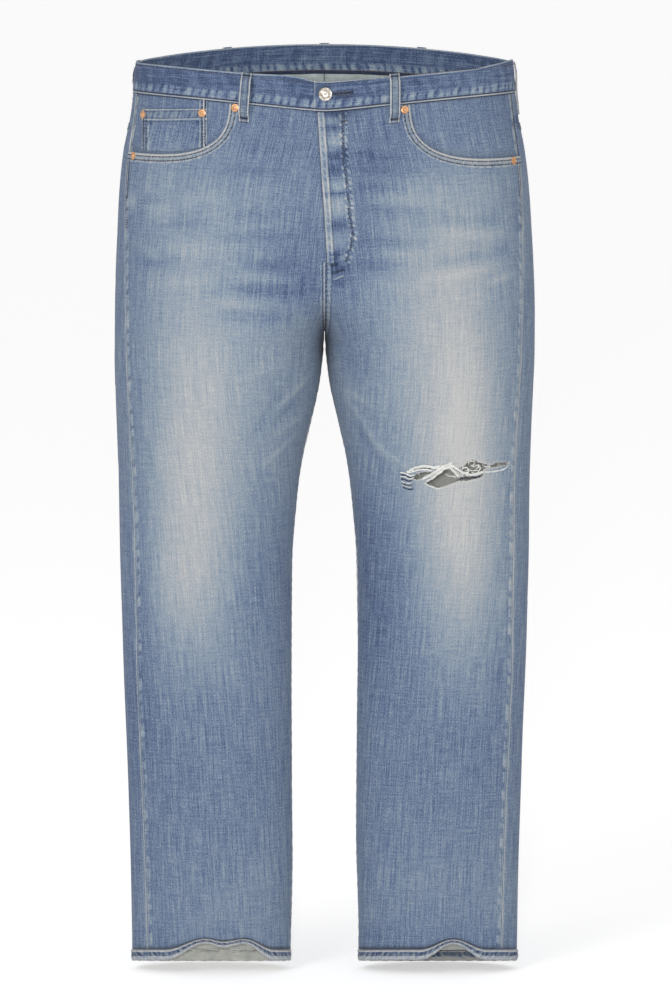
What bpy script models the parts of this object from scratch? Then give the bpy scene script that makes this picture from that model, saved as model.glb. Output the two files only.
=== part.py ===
"""Ripped straight-leg jeans with a button fly, standing open and filled out as if worn, with no wearer.

Metres, +Z up, the front faces -Y and +X is the wearer's left. The origin is the middle of the waist,
halfway up the waistband at the sides, where the wearer holds the jeans up. All cloth lies on one surface,
the form, which is given by level sections: a half section runs from its side extreme (share 0) to the
centre front or front inseam (share 1) and to the centre back or back inseam (share -1). Every cloth piece
is a wall between two lifts above that surface.
"""

import math

import bmesh
import bpy
import numpy as np

# ---------------------------------------------------------------- driving sizes
SEAM_GAP = 0.0003
LAYER_GAP = 0.0008
DENIM = 0.0012
BAND_TOP = 0.019
BAND_BOTTOM = -0.019
BAND_PROUD = 0.0007
BAND_WALL = 0.0026
CROTCH_LEVEL = -0.342
# The inseam's place along Y at the crotch, coming back to 0 at the level given
CROTCH_Y, INSEAM_STRAIGHT = 0.010, -0.62
HEM_LEVEL = -1.1555
HEM_HEIGHT = 0.013
HEM_PROUD = 0.0009
HEM_WALL = 0.0030
FORM_TOP = 0.030
FORM_BOTTOM = -1.170
# Steps to either side over which the form's slope is measured
SHARE_STEP, LEVEL_STEP = 0.004, 0.0003

# Half widths from the centre line, where the section is deepest, and its depths in front and behind. Above
# the crotch the thighs' tubes run into each other: their inner side lies past the centre line and is cut off.
SECTIONS = (
    # level, outer, inner, deepest, front, back
    (0.030, 0.2415, -2.000, 0.0000, 0.1180, 0.1180),
    (0.019, 0.2425, -2.000, 0.0000, 0.1185, 0.1185),
    (-0.019, 0.2462, -2.000, 0.0000, 0.1200, 0.1210),
    (-0.057, 0.2512, -2.000, 0.0050, 0.1220, 0.1260),
    (-0.096, 0.2590, -1.400, 0.0120, 0.1235, 0.1320),
    (-0.155, 0.2655, -0.700, 0.0220, 0.1250, 0.1400),
    (-0.200, 0.2683, -0.360, 0.0330, 0.1252, 0.1440),
    (-0.233, 0.2700, -0.200, 0.0450, 0.1250, 0.1450),
    (-0.265, 0.2712, -0.105, 0.0630, 0.1235, 0.1445),
    (-0.290, 0.2718, -0.052, 0.0790, 0.1215, 0.1430),
    (-0.312, 0.2720, -0.0185, 0.0930, 0.1190, 0.1405),
    (-0.330, 0.2720, -0.0045, 0.1050, 0.1168, 0.1370),
    (-0.342, 0.2720, 0.0002, 0.1120, 0.1152, 0.1342),
    (-0.360, 0.2720, 0.0022, 0.1195, 0.1128, 0.1290),
    (-0.397, 0.2710, 0.0070, 0.1310, 0.1080, 0.1180),
    (-0.450, 0.2690, 0.0190, 0.1420, 0.1000, 0.1060),
    (-0.500, 0.2675, 0.0300, 0.1480, 0.0920, 0.0960),
    (-0.554, 0.2665, 0.0370, 0.1510, 0.0840, 0.0870),
    (-0.632, 0.2655, 0.0430, 0.1535, 0.0760, 0.0780),
    (-0.737, 0.2625, 0.0440, 0.1530, 0.0680, 0.0700),
    (-0.868, 0.2580, 0.0430, 0.1505, 0.0600, 0.0620),
    (-0.999, 0.2545, 0.0425, 0.1485, 0.0540, 0.0570),
    (-1.130, 0.2520, 0.0450, 0.1485, 0.0480, 0.0520),
    (-1.170, 0.2515, 0.0450, 0.1480, 0.0470, 0.0510),
)
# How far the side seam lies forward of the side extreme, as seen from the front
SIDE_SEAM = (
    # level, inset
    (0.030, 0.0035),
    (-0.040, 0.0045),
    (-0.100, 0.0078),
    (-0.150, 0.0098),
    (-0.200, 0.0120),
    (-0.280, 0.0148),
    (-0.390, 0.0172),
    (-0.500, 0.0190),
    (-0.650, 0.0202),
    (-0.780, 0.0174),
    (-0.930, 0.0185),
    (-1.170, 0.0200),
)
# The waist dips at the centre front and rises at the centre back
FRONT_DIP, FRONT_DIP_POWER, DIP_ROUNDING = 0.0183, 1.35, 0.06
BACK_RISE = 0.0171
WAIST_FADE = (-0.330, -0.019)
# The back hem hangs lower than the front one
HEM_TILT, HEM_TILT_REACH = 0.19, 0.16
# Where the front hem buckles up: side (-1 or 1), place along X, half width, rise
HEM_ARCHES = (
    (-1, -0.155, 0.052, 0.0215),
    (-1, -0.104, 0.038, 0.0210),
    (1, 0.168, 0.043, 0.0205),
)
HEM_ARCH_REACH, HEM_ARCH_POWER = 0.045, 1.3
# The fly's edge leans from the wearer's right at the waist to the left at its end
FLY_TOP_X, FLY_END_X = -0.0092, 0.0035
FLY_END, FLY_FADE = -0.222, -0.262
FLY_WIDTH, FLY_UNDERLAP, FLY_FACING_END = 0.036, 0.010, -0.205
# Pocket mouths: how near the centre they come, and their depth below the waistband
POCKET_MOUTH_X = {-1: 0.1225, 1: 0.1110}
POCKET_MOUTH_DEPTH = {-1: 0.0760, 1: 0.0815}
POCKET_MOUTH_POWER = 2.8
FACING_TUCK, FACING_LEAST = 0.014, 0.045
# Inner and outer edges from the centre line, and the top level at each
COIN_POCKET = (0.150, 0.235, -0.0300, -0.0388)
COIN_CLEAR = 0.0040
YOKE_SIDE, YOKE_CENTRE = -0.062, -0.100
# Near and far edges from the centre line, top level, height, rise of the corners above the point, narrowing
BACK_POCKET = (0.045, 0.200, -0.112, 0.178, 0.022, 0.12)
# Tears across the wearer's left knee: left and right ends, their levels, and how far each opens up and down
TEARS = (
    # left, right, left_level, right_level, up, down
    (0.1110, 0.1300, -0.5085, -0.5085, 0.0040, 0.0040),
    (0.1325, 0.1760, -0.5135, -0.5135, 0.0100, 0.0090),
    (0.1780, 0.2385, -0.5020, -0.4975, 0.0100, 0.0080),
)
TEAR_CUT_Y = (-0.150, -0.010)
LOOP_WIDTH, LOOP_WALL, LOOP_CLEAR = 0.013, 0.0020, 0.0068
LOOP_TOP, LOOP_BOTTOM = 0.0200, -0.0430
# Side loops: how far each lies in front of the side extreme, and its levels and lifts off the form
SIDE_LOOP_SHIFTS = {-1: -0.0190, 1: 0.0015}
SIDE_LOOP_PROFILES = {
    -1: (
        (0.0190, 0.0010),
        (0.0130, 0.0010),
        (0.0080, 0.0034),
        (0.0000, 0.0040),
        (-0.0080, 0.0036),
        (-0.0165, 0.0012),
        (-0.0300, 0.0006),
        (-0.0430, 0.0003),
    ),
    1: (
        (0.0190, 0.0010),
        (0.0130, 0.0024),
        (0.0070, 0.0030),
        (-0.0020, 0.0027),
        (-0.0120, 0.0018),
        (-0.0200, 0.0011),
        (-0.0350, 0.0007),
        (-0.0490, 0.0003),
    ),
}
# Belt loops: side of X, distance from the centre line (None at the side extreme), and face: 1 front, -1 back
LOOPS = {
    "belt_loop_front_right": (-1, 0.1020, 1),
    "belt_loop_front_left": (1, 0.0890, 1),
    "belt_loop_side_right": (-1, None, 0),
    "belt_loop_side_left": (1, None, 0),
    "belt_loop_back_right": (-1, 0.1260, -1),
    "belt_loop_back_left": (1, 0.1260, -1),
    "belt_loop_back_centre": (1, 0.0, -1),
}
BAND_OVERLAP, BAND_STEP = 0.0130, 0.0032
BAND_UNDER_END, BAND_STEP_START, BAND_STEP_RUN = 0.0420, 0.0800, 0.0360
BUTTON_X, BUTTON_LEVEL, BUTTON_RADIUS, BUTTON_DEPTH = 0.0015, 0.0018, 0.0088, 0.0042
RIVET_RADIUS, RIVET_DEPTH = 0.0047, 0.0017
# Edge of a stud's crown as shares of its radius and depth, and the sides of its ring
STUD_CROWN, STUD_SIDES = (0.92, 0.70), 14
# Rivets: place along X and level
RIVETS = {
    "rivet_pocket_right_inner": (-0.1135, -0.0260),
    "rivet_pocket_right_outer": (-0.2450, -0.0998),
    "rivet_coin_outer": (-0.2325, -0.0463),
    "rivet_coin_inner": (-0.1560, -0.0368),
    "rivet_pocket_left_inner": (0.1025, -0.0272),
    "rivet_pocket_left_outer": (0.2430, -0.1056),
}

FINISHES = {
    # name: colour, roughness, metallic
    "denim": ((0.22, 0.30, 0.43, 1.0), 0.85, 0.0),
    "denim_pale": ((0.36, 0.44, 0.54, 1.0), 0.85, 0.0),
    "denim_dark": ((0.13, 0.19, 0.31, 1.0), 0.85, 0.0),
    "nickel": ((0.72, 0.70, 0.68, 1.0), 0.30, 1.0),
    "copper": ((0.62, 0.30, 0.17, 1.0), 0.35, 1.0),
}


# ---------------------------------------------------------------- the form
class Curve:
    """A smooth curve through a table's points that never overshoots them."""

    def __init__(self, places, values):
        order = np.argsort(places)
        self.places = np.asarray(places, float)[order]
        self.values = np.asarray(values, float)[order]
        steps = np.diff(self.values) / np.diff(self.places)
        before, after = steps[:-1], steps[1:]
        total = np.where(before + after == 0, 1, before + after)
        inner = np.where(before * after > 0, 2 * before * after / total, 0)
        self.slopes = np.concatenate([steps[:1], inner, steps[-1:]])

    def __call__(self, place):
        place = np.clip(place, self.places[0], self.places[-1])
        i = np.clip(np.searchsorted(self.places, place, side="right") - 1, 0, len(self.places) - 2)
        width = self.places[i + 1] - self.places[i]
        s = (place - self.places[i]) / width
        value = (1 + 2 * s) * (1 - s) ** 2 * self.values[i] + s**2 * (3 - 2 * s) * self.values[i + 1]
        slope = s * (1 - s) ** 2 * self.slopes[i] + s**2 * (s - 1) * self.slopes[i + 1]
        return value + slope * width


def table_curves(rows):
    """One curve for each column of a table after its first, level, column."""
    columns = list(zip(*rows))
    return [Curve(columns[0], column) for column in columns[1:]]


OUTER, INNER, DEEPEST, FRONT, BACK = table_curves(SECTIONS)
(INSET,) = table_curves(SIDE_SEAM)


def ease(value, low, high):
    """0 at low and 1 at high, with a soft start and end."""
    t = np.clip((value - low) / (high - low), 0, 1)
    return t * t * (3 - 2 * t)


def limits(level):
    """A half section's outer extreme, inner extreme and deepest place along X."""
    return OUTER(level), INNER(level), np.maximum(DEEPEST(level), SEAM_GAP / 2)


def inner_turn(level):
    """The part of a quarter turn, in radians, that the inner side runs through before the centre line."""
    _, inner, deepest = limits(level)
    reach = (deepest - np.maximum(inner, SEAM_GAP / 2)) / (deepest - inner)
    return np.arcsin(np.clip(reach, 0, 1))


def section_point(level, turn):
    """X and Y of the half section with X above 0. Turn is 0 at the side, 1 where it's deepest in front and
    2 at the inner edge; behind it is -1 and -2."""
    outer, inner, deepest = limits(level)
    depth = np.where(turn >= 0, -FRONT(level), BACK(level))
    middle = CROTCH_Y * ease(level, INSEAM_STRAIGHT, CROTCH_LEVEL)
    size = np.abs(turn)
    first = np.clip(size, 0, 1) * math.pi / 2
    second = np.clip(size - 1, 0, 1) * inner_turn(level)
    wide = size <= 1
    x = deepest + np.where(wide, (outer - deepest) * np.cos(first), (inner - deepest) * np.sin(second))
    y = np.where(wide, depth * np.sin(first), middle + (depth - middle) * np.cos(second))
    return x, y


class Arcs:
    """Arc lengths along the half sections in front (face 1) or behind (face -1), so that a share is an even
    step along the cloth. Each quarter of the section has its own tables, split where it is deepest."""

    LEVELS = np.linspace(FORM_BOTTOM, FORM_TOP, 241)
    STEPS = np.linspace(0, 1, 81)

    def __init__(self, face):
        self.shares, self.turns, lengths = [], [], []
        for quarter in (0, 1):
            x, y = section_point(self.LEVELS[:, None], face * (quarter + self.STEPS[None]))
            steps = np.hypot(np.diff(x, axis=1), np.diff(y, axis=1)) + 1e-9
            length = np.concatenate([np.zeros((len(x), 1)), np.cumsum(steps, axis=1)], axis=1)
            share = length / length[:, -1:]
            self.shares.append(share)
            self.turns.append(np.stack([np.interp(self.STEPS, row, self.STEPS) for row in share]))
            lengths.append(length[:, -1])
        self.total = lengths[0] + lengths[1]
        self.first = lengths[0] / self.total

    def look_up(self, tables, quarter, level, place):
        """Reads a quarter's table by level and by place, from 0 to 1."""
        row = (level - FORM_BOTTOM) / (FORM_TOP - FORM_BOTTOM) * (len(self.LEVELS) - 1)
        column = np.clip(place, 0, 1) * (len(self.STEPS) - 1)
        r = np.clip(np.floor(row).astype(int), 0, len(self.LEVELS) - 2)
        c = np.clip(np.floor(column).astype(int), 0, len(self.STEPS) - 2)
        down, along = np.clip(row - r, 0, 1), np.clip(column - c, 0, 1)
        table = tables[quarter]
        near = table[r, c] * (1 - along) + table[r, c + 1] * along
        far = table[r + 1, c] * (1 - along) + table[r + 1, c + 1] * along
        return near * (1 - down) + far * down

    def turn_at(self, level, share):
        """The turn, from 0 to 2, at a share from 0 to 1."""
        first = np.interp(level, self.LEVELS, self.first)
        wide = self.look_up(self.turns, 0, level, share / first)
        near = 1 + self.look_up(self.turns, 1, level, (share - first) / np.maximum(1 - first, 1e-9))
        return np.where(share <= first, wide, near)

    def share_at(self, level, turn):
        """The share, from 0 to 1, at a turn from 0 to 2."""
        first = np.interp(level, self.LEVELS, self.first)
        wide = first * self.look_up(self.shares, 0, level, turn)
        near = first + (1 - first) * self.look_up(self.shares, 1, level, turn - 1)
        return np.where(turn <= 1, wide, near)


ARCS = {1: Arcs(1), -1: Arcs(-1)}


def arc_length(level, face=1):
    """Length of the half section from its side extreme to its inner edge."""
    return np.interp(level, Arcs.LEVELS, ARCS[face].total)


def share_at(level, x, face=1):
    """The share at which the half section, in front (face 1) or behind (face -1), lies x from the middle."""
    outer, inner, deepest = limits(level)
    wide = np.arccos(np.clip((x - deepest) / (outer - deepest), -1, 1)) * 2 / math.pi
    past = np.arcsin(np.clip((deepest - x) / (deepest - inner), 0, 1))
    near = 1 + past / np.maximum(inner_turn(level), 1e-9)
    turn = np.where(x >= deepest, wide, np.minimum(near, 2))
    return face * ARCS[face].share_at(level, turn)


def side_seam(level):
    """The side seam's share."""
    return share_at(level, OUTER(level) - INSET(level))


def fly_x(level):
    """The fly edge's place along X."""
    down = np.clip((BAND_BOTTOM - level) / (BAND_BOTTOM - FLY_END), 0, 1)
    lean = FLY_TOP_X + (FLY_END_X - FLY_TOP_X) * down
    return lean * ease(level, FLY_FADE, FLY_END)


def spot(side, level, share):
    """A point of the form, on the side of X given. A front share over 1 carries on past the centre line."""
    over = share > 1
    share = np.where(over, 2 - share, share)
    side = np.where(over, -side, side)
    size = np.abs(share)
    turn = np.where(share >= 0, ARCS[1].turn_at(level, size), -ARCS[-1].turn_at(level, size))
    x, y = section_point(level, turn)
    reach = np.clip(x / OUTER(level), 0, 1)
    rounded = (np.hypot(reach, DIP_ROUNDING) - DIP_ROUNDING) / (math.hypot(1, DIP_ROUNDING) - DIP_ROUNDING)
    dip = -FRONT_DIP * np.maximum(1 - rounded, 0) ** FRONT_DIP_POWER
    height = np.where(y < 0, dip, BACK_RISE * (1 - reach**2)) * ease(level, *WAIST_FADE)
    height = height - HEM_TILT * y * (1 - ease(level, HEM_LEVEL, HEM_LEVEL + HEM_TILT_REACH))
    above = np.clip(1 - (level - HEM_LEVEL) / HEM_ARCH_REACH, 0, 1) ** HEM_ARCH_POWER
    for arch_side, middle, half, rise in HEM_ARCHES:
        away = np.clip(np.abs(x - abs(middle)) / half, 0, 1)
        lifted = rise * np.cos(away * math.pi / 2) ** 2 * above
        height = height + np.where((y < 0) & (side == arch_side), lifted, 0)
    return np.stack([side * x, y, level + height], -1)


def skin(side, level, share, lift=0.0):
    """A point lifted off the form along its outward normal."""
    side, level, share, lift = np.broadcast_arrays(side, level, share, lift)
    side, level, share = side.astype(int), level.astype(float), share.astype(float)
    ahead = np.where(share > 1 - SHARE_STEP, share, share + SHARE_STEP)
    behind = np.where(share < -1 + SHARE_STEP, share, share - SHARE_STEP)
    across = spot(side, level, ahead) - spot(side, level, behind)
    upward = spot(side, level + LEVEL_STEP, share) - spot(side, level - LEVEL_STEP, share)
    normal = np.cross(across, upward) * np.where(side > 0, -1, 1)[..., None]
    normal /= np.linalg.norm(normal, axis=-1, keepdims=True)
    return spot(side, level, share) + normal * lift[..., None]


# ---------------------------------------------------------------- making pieces
def clear_scene():
    """Removes every object that the scene starts with."""
    for obj in list(bpy.data.objects):
        bpy.data.objects.remove(obj, do_unlink=True)


def make_material(name):
    """A Principled material of the finish named."""
    colour, roughness, metallic = FINISHES[name]
    material = bpy.data.materials.new(name)
    material.use_nodes = True
    shader = material.node_tree.nodes["Principled BSDF"]
    shader.inputs["Base Color"].default_value = colour
    shader.inputs["Roughness"].default_value = roughness
    shader.inputs["Metallic"].default_value = metallic
    material.diffuse_color = colour
    return material


def finish_object(name, mesh_maker, finish):
    """Turns a bmesh into a named object with its material."""
    bmesh.ops.recalc_face_normals(mesh_maker, faces=mesh_maker.faces[:])
    if mesh_maker.calc_volume(signed=True) < 0:
        bmesh.ops.reverse_faces(mesh_maker, faces=mesh_maker.faces[:])
    mesh = bpy.data.meshes.new(name)
    mesh_maker.to_mesh(mesh)
    mesh_maker.free()
    mesh.materials.append(bpy.data.materials[finish])
    mesh.shade_smooth()
    mesh.set_sharp_from_angle(angle=math.radians(40))
    obj = bpy.data.objects.new(name, mesh)
    bpy.context.scene.collection.objects.link(obj)
    return obj


def wall(name, outside, inside, finish):
    """A closed wall between two grids of points, each an array of rows of columns."""
    rows, columns = outside.shape[:2]
    maker = bmesh.new()
    row_of = maker.verts.layers.int.new("row")
    column_of = maker.verts.layers.int.new("column")
    grid = bmesh.ops.create_grid(maker, x_segments=columns - 1, y_segments=rows - 1, size=0.5)
    for vertex in grid["verts"]:
        vertex[row_of] = round((0.5 - vertex.co.y) * (rows - 1))
        vertex[column_of] = round((vertex.co.x + 0.5) * (columns - 1))
    outer_layer = set(grid["verts"])
    bmesh.ops.extrude_face_region(maker, geom=maker.faces[:])
    for vertex in maker.verts:
        layer = outside if vertex in outer_layer else inside
        vertex.co = layer[vertex[row_of], vertex[column_of]]
    return finish_object(name, maker, finish)


def cloth(name, side, level, share, lifts, finish):
    """A wall of cloth over grids of levels and shares, from the outer lift to the inner one."""
    outer_lift, inner_lift = lifts
    return wall(
        name, skin(side, level, share, outer_lift), skin(side, level, share, inner_lift), finish
    )


def gap_share(level, face=1):
    """Half a seam gap as a share of the half section."""
    return SEAM_GAP / 2 / arc_length(level, face)


# ---------------------------------------------------------------- legs and yoke
LEG_LEVELS = np.array([
    -0.125, -0.165, -0.205, -0.240, -0.270, -0.294, -0.314, -0.330, -0.339, -0.342, -0.352, -0.372,
    -0.400, -0.440, -0.490, -0.560, -0.640, -0.730, -0.830, -0.930, -1.020, -1.080, -1.112, -1.132,
])
UPPER_ROWS = 3
PANEL_BOTTOM = HEM_LEVEL + HEM_HEIGHT + SEAM_GAP
POCKET_LEVEL = -0.060
BESIDE_MOUTH = (0.124, 0.113, 0.092, 0.064, 0.037, 0.016, 0.005, 0.0012, 0.0)
INSIDE_MOUTH = (0.085, 0.060, 0.036, 0.015)
BACK_COLUMNS = np.array([0, 0.03, 0.07, 0.12, 0.19, 0.28, 0.38, 0.49, 0.60, 0.71, 0.82, 0.92, 1])


def pocket_mouth(side, x):
    """Level of the pocket mouth's edge at a distance from the centre line."""
    outer = float(OUTER(POCKET_LEVEL) - INSET(POCKET_LEVEL))
    reach = np.clip((outer - x) / (outer - POCKET_MOUTH_X[side]), 0, 1)
    drop = (1 - reach**POCKET_MOUTH_POWER) ** (1 / POCKET_MOUTH_POWER)
    return BAND_BOTTOM - SEAM_GAP - POCKET_MOUTH_DEPTH[side] * drop


def front_columns(side):
    """Distances of a front leg's columns from the middle at pocket level, and their shares of its width."""
    outer = float(OUTER(POCKET_LEVEL) - INSET(POCKET_LEVEL))
    places = [outer] + [POCKET_MOUTH_X[side] + step for step in BESIDE_MOUTH] + list(INSIDE_MOUTH) + [0.0]
    places = np.array(places)
    seam = float(side_seam(POCKET_LEVEL))
    shares = share_at(np.full(len(places), POCKET_LEVEL), places)
    return places, (shares - seam) / (1 - seam)


def panel_levels(top):
    """Rows of levels from each column's own top down to the hem."""
    upper = np.linspace(0, 1, UPPER_ROWS + 1)[:-1, None]
    first = top[None] + (LEG_LEVELS[0] - top[None]) * upper
    lower = np.append(LEG_LEVELS, PANEL_BOTTOM)[:, None] * np.ones_like(top)[None]
    return np.concatenate([first, lower])


def front_shares(side, level, columns):
    """Shares of the columns from the side seam round the front to the fly's edge or the inseam."""
    seam = side_seam(level) + gap_share(level)
    lean = side * fly_x(level)
    edge = np.where(
        lean >= 0, share_at(level, np.maximum(lean, 0)), 2 - share_at(level, np.maximum(-lean, 0))
    )
    edge = np.where(level < FLY_FADE, 1.0, edge) - gap_share(level)
    return seam + columns * (edge - seam)


def back_shares(level, columns):
    """Shares of the columns from the side seam round the back to the centre or the inseam."""
    seam = side_seam(level) - gap_share(level)
    edge = -1 + gap_share(level, -1)
    return seam + columns * (edge - seam)


def front_panel(name, side):
    """A front leg, its pocket mouth cut out and its fly edge on the fly's line."""
    places, columns = front_columns(side)
    level = panel_levels(pocket_mouth(side, places))
    share = front_shares(side, level, columns[None])
    return cloth(name, side, level, share, (0.0, -DENIM), "denim")


def yoke_line(share):
    """Level of the seam between yoke and back leg: low at the centre back, higher at the side."""
    return YOKE_SIDE + (YOKE_CENTRE - YOKE_SIDE) * np.abs(share)


def back_panel(name, side):
    """A back leg, from the yoke seam to the hem."""
    top = yoke_line(BACK_COLUMNS) - SEAM_GAP / 2
    level = panel_levels(top)
    share = back_shares(level, BACK_COLUMNS[None])
    return cloth(name, side, level, share, (0.0, -DENIM), "denim")


def yoke(name, side):
    """One half of the yoke, between the waistband and the back leg."""
    bottom = yoke_line(BACK_COLUMNS) + SEAM_GAP / 2
    top = BAND_BOTTOM - SEAM_GAP
    rows = np.linspace(0, 1, 4)[:, None]
    level = top + (bottom[None] - top) * rows
    share = back_shares(level, BACK_COLUMNS[None])
    return cloth(name, side, level, share, (0.0, -DENIM), "denim")


def tear_cutter(number, tear):
    """A prism through the front cloth alone, with the tear's outline: a lens between two bowed edges."""
    near, far = TEAR_CUT_Y
    left, right, left_level, right_level, up, down = tear
    along = np.linspace(0, 1, 7)
    bow = 1 - (2 * along - 1) ** 2
    middle = left_level + (right_level - left_level) * along
    x = left + (right - left) * along
    upper = list(zip(x, middle + up * bow))
    lower = list(zip(x, middle - down * bow))[1:-1]
    maker = bmesh.new()
    loop = [maker.verts.new((px, near, pz)) for px, pz in upper + lower[::-1]]
    face = maker.faces.new(loop)
    pushed = bmesh.ops.extrude_face_region(maker, geom=[face])
    moved = [item for item in pushed["geom"] if isinstance(item, bmesh.types.BMVert)]
    bmesh.ops.translate(maker, verts=moved, vec=(0, far - near, 0))
    cutter = finish_object(f"tear_cutter_{number}", maker, "denim")
    cutter.hide_render = True
    cutter.display_type = "WIRE"
    return cutter


def tear_knee(panel):
    """Cuts the tears into the wearer's left front leg."""
    for number, tear in enumerate(TEARS, 1):
        modifier = panel.modifiers.new(f"tear_{number}", "BOOLEAN")
        modifier.operation = "DIFFERENCE"
        modifier.object = tear_cutter(number, tear)


def build_legs():
    """The four legs and the two yoke halves."""
    for side, hand in ((1, "left"), (-1, "right")):
        panel = front_panel(f"front_{hand}", side)
        if side > 0:
            tear_knee(panel)
        back_panel(f"back_{hand}", side)
        yoke(f"yoke_{hand}", side)


# ---------------------------------------------------------------- hems
def build_hem(name, side):
    """The turned hem: one strip round the leg on the leg's own columns, its ends meeting at the inseam."""
    level = np.array([HEM_LEVEL + HEM_HEIGHT, HEM_LEVEL])[:, None]
    _, columns = front_columns(side)
    front = front_shares(side, level, columns[None])
    back = back_shares(level, BACK_COLUMNS[None])
    share = np.concatenate([back[:, ::-1], front[:, 1:]], axis=1)
    level = level * np.ones_like(share)
    return cloth(name, side, level, share, (HEM_PROUD, HEM_PROUD - HEM_WALL), "denim")


# ---------------------------------------------------------------- waistband and loops
def band_path():
    """Sides, shares and extra lift along the waistband, from its covered end round the back to its top end.

    The wearer's right end carries on under the left one, which steps out over it."""
    level = 0.0
    half = float(arc_length(level))
    under = 1 + BAND_UNDER_END / half
    step_from, step_to = 1 - BAND_STEP_START / half, 1 - (BAND_STEP_START - BAND_STEP_RUN) / half
    over = 1 + BAND_OVERLAP / half
    right = np.concatenate([np.linspace(under, 1.0, 4)[:-1], np.linspace(1.0, 0, 15)[:-1]])
    right_back = -np.linspace(0, 1, 15)[:-1]
    left_back = -np.linspace(1, 0, 15)[:-1]
    left = np.concatenate([np.linspace(0, step_from, 12)[:-1], np.linspace(step_from, step_to, 4)[:-1]])
    left = np.concatenate([left, np.linspace(step_to, 1, 4), [over]])
    counts = len(right) + len(right_back), len(left_back) + len(left)
    sides = np.repeat((-1, 1), counts)
    shares = np.concatenate([right, right_back, left_back, left])
    steps = np.zeros(len(shares))
    steps[-len(left):] = BAND_STEP * ease(left, step_from, step_to)
    return sides, shares, steps


def build_waistband():
    """The waistband: one strip, open at the front and lapped there."""
    sides, shares, steps = band_path()
    level = np.array([BAND_TOP, BAND_BOTTOM])[:, None] * np.ones_like(shares)[None]
    grid = np.ones((2, 1))
    side, share, step = grid * sides[None], grid * shares[None], grid * steps[None]
    return wall(
        "waistband",
        skin(side, level, share, BAND_PROUD + step),
        skin(side, level, share, BAND_PROUD - BAND_WALL + step),
        "denim_dark",
    )


# A belt loop's profile: level and clearance of its inner face above the form
LOOP_PROFILE = (
    (LOOP_TOP, BAND_PROUD + SEAM_GAP),
    (LOOP_TOP - 0.0045, BAND_PROUD + SEAM_GAP + 0.0008),
    (LOOP_TOP - 0.0105, LOOP_CLEAR),
    (0.000, LOOP_CLEAR + 0.0004),
    (-0.016, LOOP_CLEAR + 0.0004),
    (LOOP_BOTTOM + 0.0115, LOOP_CLEAR),
    (LOOP_BOTTOM + 0.0055, SEAM_GAP + 0.0010),
    (LOOP_BOTTOM, SEAM_GAP),
)


def build_loop(name, side, x, face):
    """A belt loop: a strap tacked down at both ends and standing clear of the waistband between them."""
    level, lift = np.array(LOOP_PROFILE if x is not None else SIDE_LOOP_PROFILES[side]).T
    reach = arc_length(level, face if face else 1)
    middle = SIDE_LOOP_SHIFTS[side] / reach if x is None else share_at(level, x, face)
    across = np.linspace(-0.5, 0.5, 3) * LOOP_WIDTH
    share = middle[:, None] + across[None] / reach[:, None]
    level = level[:, None] * np.ones_like(across)[None]
    lift = lift[:, None] * np.ones_like(across)[None]
    if face < 0 and x == 0.0:
        share = -1 + across[None] / arc_length(level, -1)
    sides = np.full(share.shape, side)
    past = share < -1
    share = np.where(past, -2 - share, share)
    sides = np.where(past, -sides, sides)
    outside, inside = skin(sides, level, share, lift + LOOP_WALL), skin(sides, level, share, lift)
    return wall(name, outside, inside, "denim_pale")


# ---------------------------------------------------------------- pockets and fly
FACING_LIFTS = (-DENIM - LAYER_GAP, -DENIM - LAYER_GAP - DENIM)


def build_pocket_facing(name, side):
    """The denim behind a pocket mouth: it runs on a little way under the front leg."""
    places, columns = front_columns(side)
    beside = len(BESIDE_MOUTH) + 1
    seam = float(side_seam(POCKET_LEVEL))
    near = POCKET_MOUTH_X[side] - FACING_TUCK
    last = (float(share_at(np.array(POCKET_LEVEL), near)) - seam) / (1 - seam)
    columns = np.append(columns[:beside], last)
    bottom = pocket_mouth(side, places[:beside]) - FACING_TUCK
    bottom = np.append(bottom, bottom[-1])
    bottom = np.minimum(bottom, BAND_BOTTOM - FACING_LEAST)
    top = BAND_BOTTOM - SEAM_GAP
    level = top + (bottom - top)[None] * np.linspace(0, 1, 4)[:, None]
    share = front_shares(side, level, columns[None])
    return cloth(name, side, level, share, FACING_LIFTS, "denim")


def build_coin_pocket():
    """The coin pocket on the wearer's right facing, ending at the pocket mouth's edge."""
    inner, outer, inner_top, outer_top = COIN_POCKET
    places = outer - (outer - inner) * np.linspace(0, 1, 7) ** 1.6
    top = np.interp(places, (inner, outer), (inner_top, outer_top))
    bottom = pocket_mouth(-1, places) + COIN_CLEAR
    level = top + (bottom - top)[None] * np.linspace(0, 1, 4)[:, None]
    share = share_at(level, np.ones((4, 1)) * places[None])
    return cloth("coin_pocket", -1, level, share, (-0.0001, -DENIM), "denim")


def build_back_pocket(name, side):
    """A plain patch pocket, narrowing to a blunt point."""
    near, far, top, height, point, narrowing = BACK_POCKET
    columns = np.linspace(-1, 1, 9)
    rows = np.linspace(0, 1, 6)[:, None]
    bottom = top - height + point * np.abs(columns)
    level = top + (bottom - top)[None] * rows
    middle, half = (near + far) / 2, (far - near) / 2
    narrowed = middle + columns[None] * half * (1 - narrowing * rows)
    share = share_at(level, narrowed, -1)
    return cloth(name, side, level, share, (LAYER_GAP + DENIM, LAYER_GAP), "denim")


def build_fly_facing():
    """The strip behind the fly that doubles its placket and closes the gap at its edge."""
    level = np.linspace(BAND_BOTTOM - SEAM_GAP, FLY_FACING_END, 8)
    left, right = fly_x(level) - FLY_UNDERLAP, np.full(len(level), FLY_WIDTH)
    columns = np.linspace(0, 1, 6)
    x = left[:, None] + columns[None] * (right - left)[:, None]
    level = level[:, None] * np.ones_like(columns)[None]
    share = np.where(x >= 0, share_at(level, np.maximum(x, 0)), 2 - share_at(level, np.maximum(-x, 0)))
    return cloth("fly_facing", 1, level, share, FACING_LIFTS, "denim")


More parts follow.
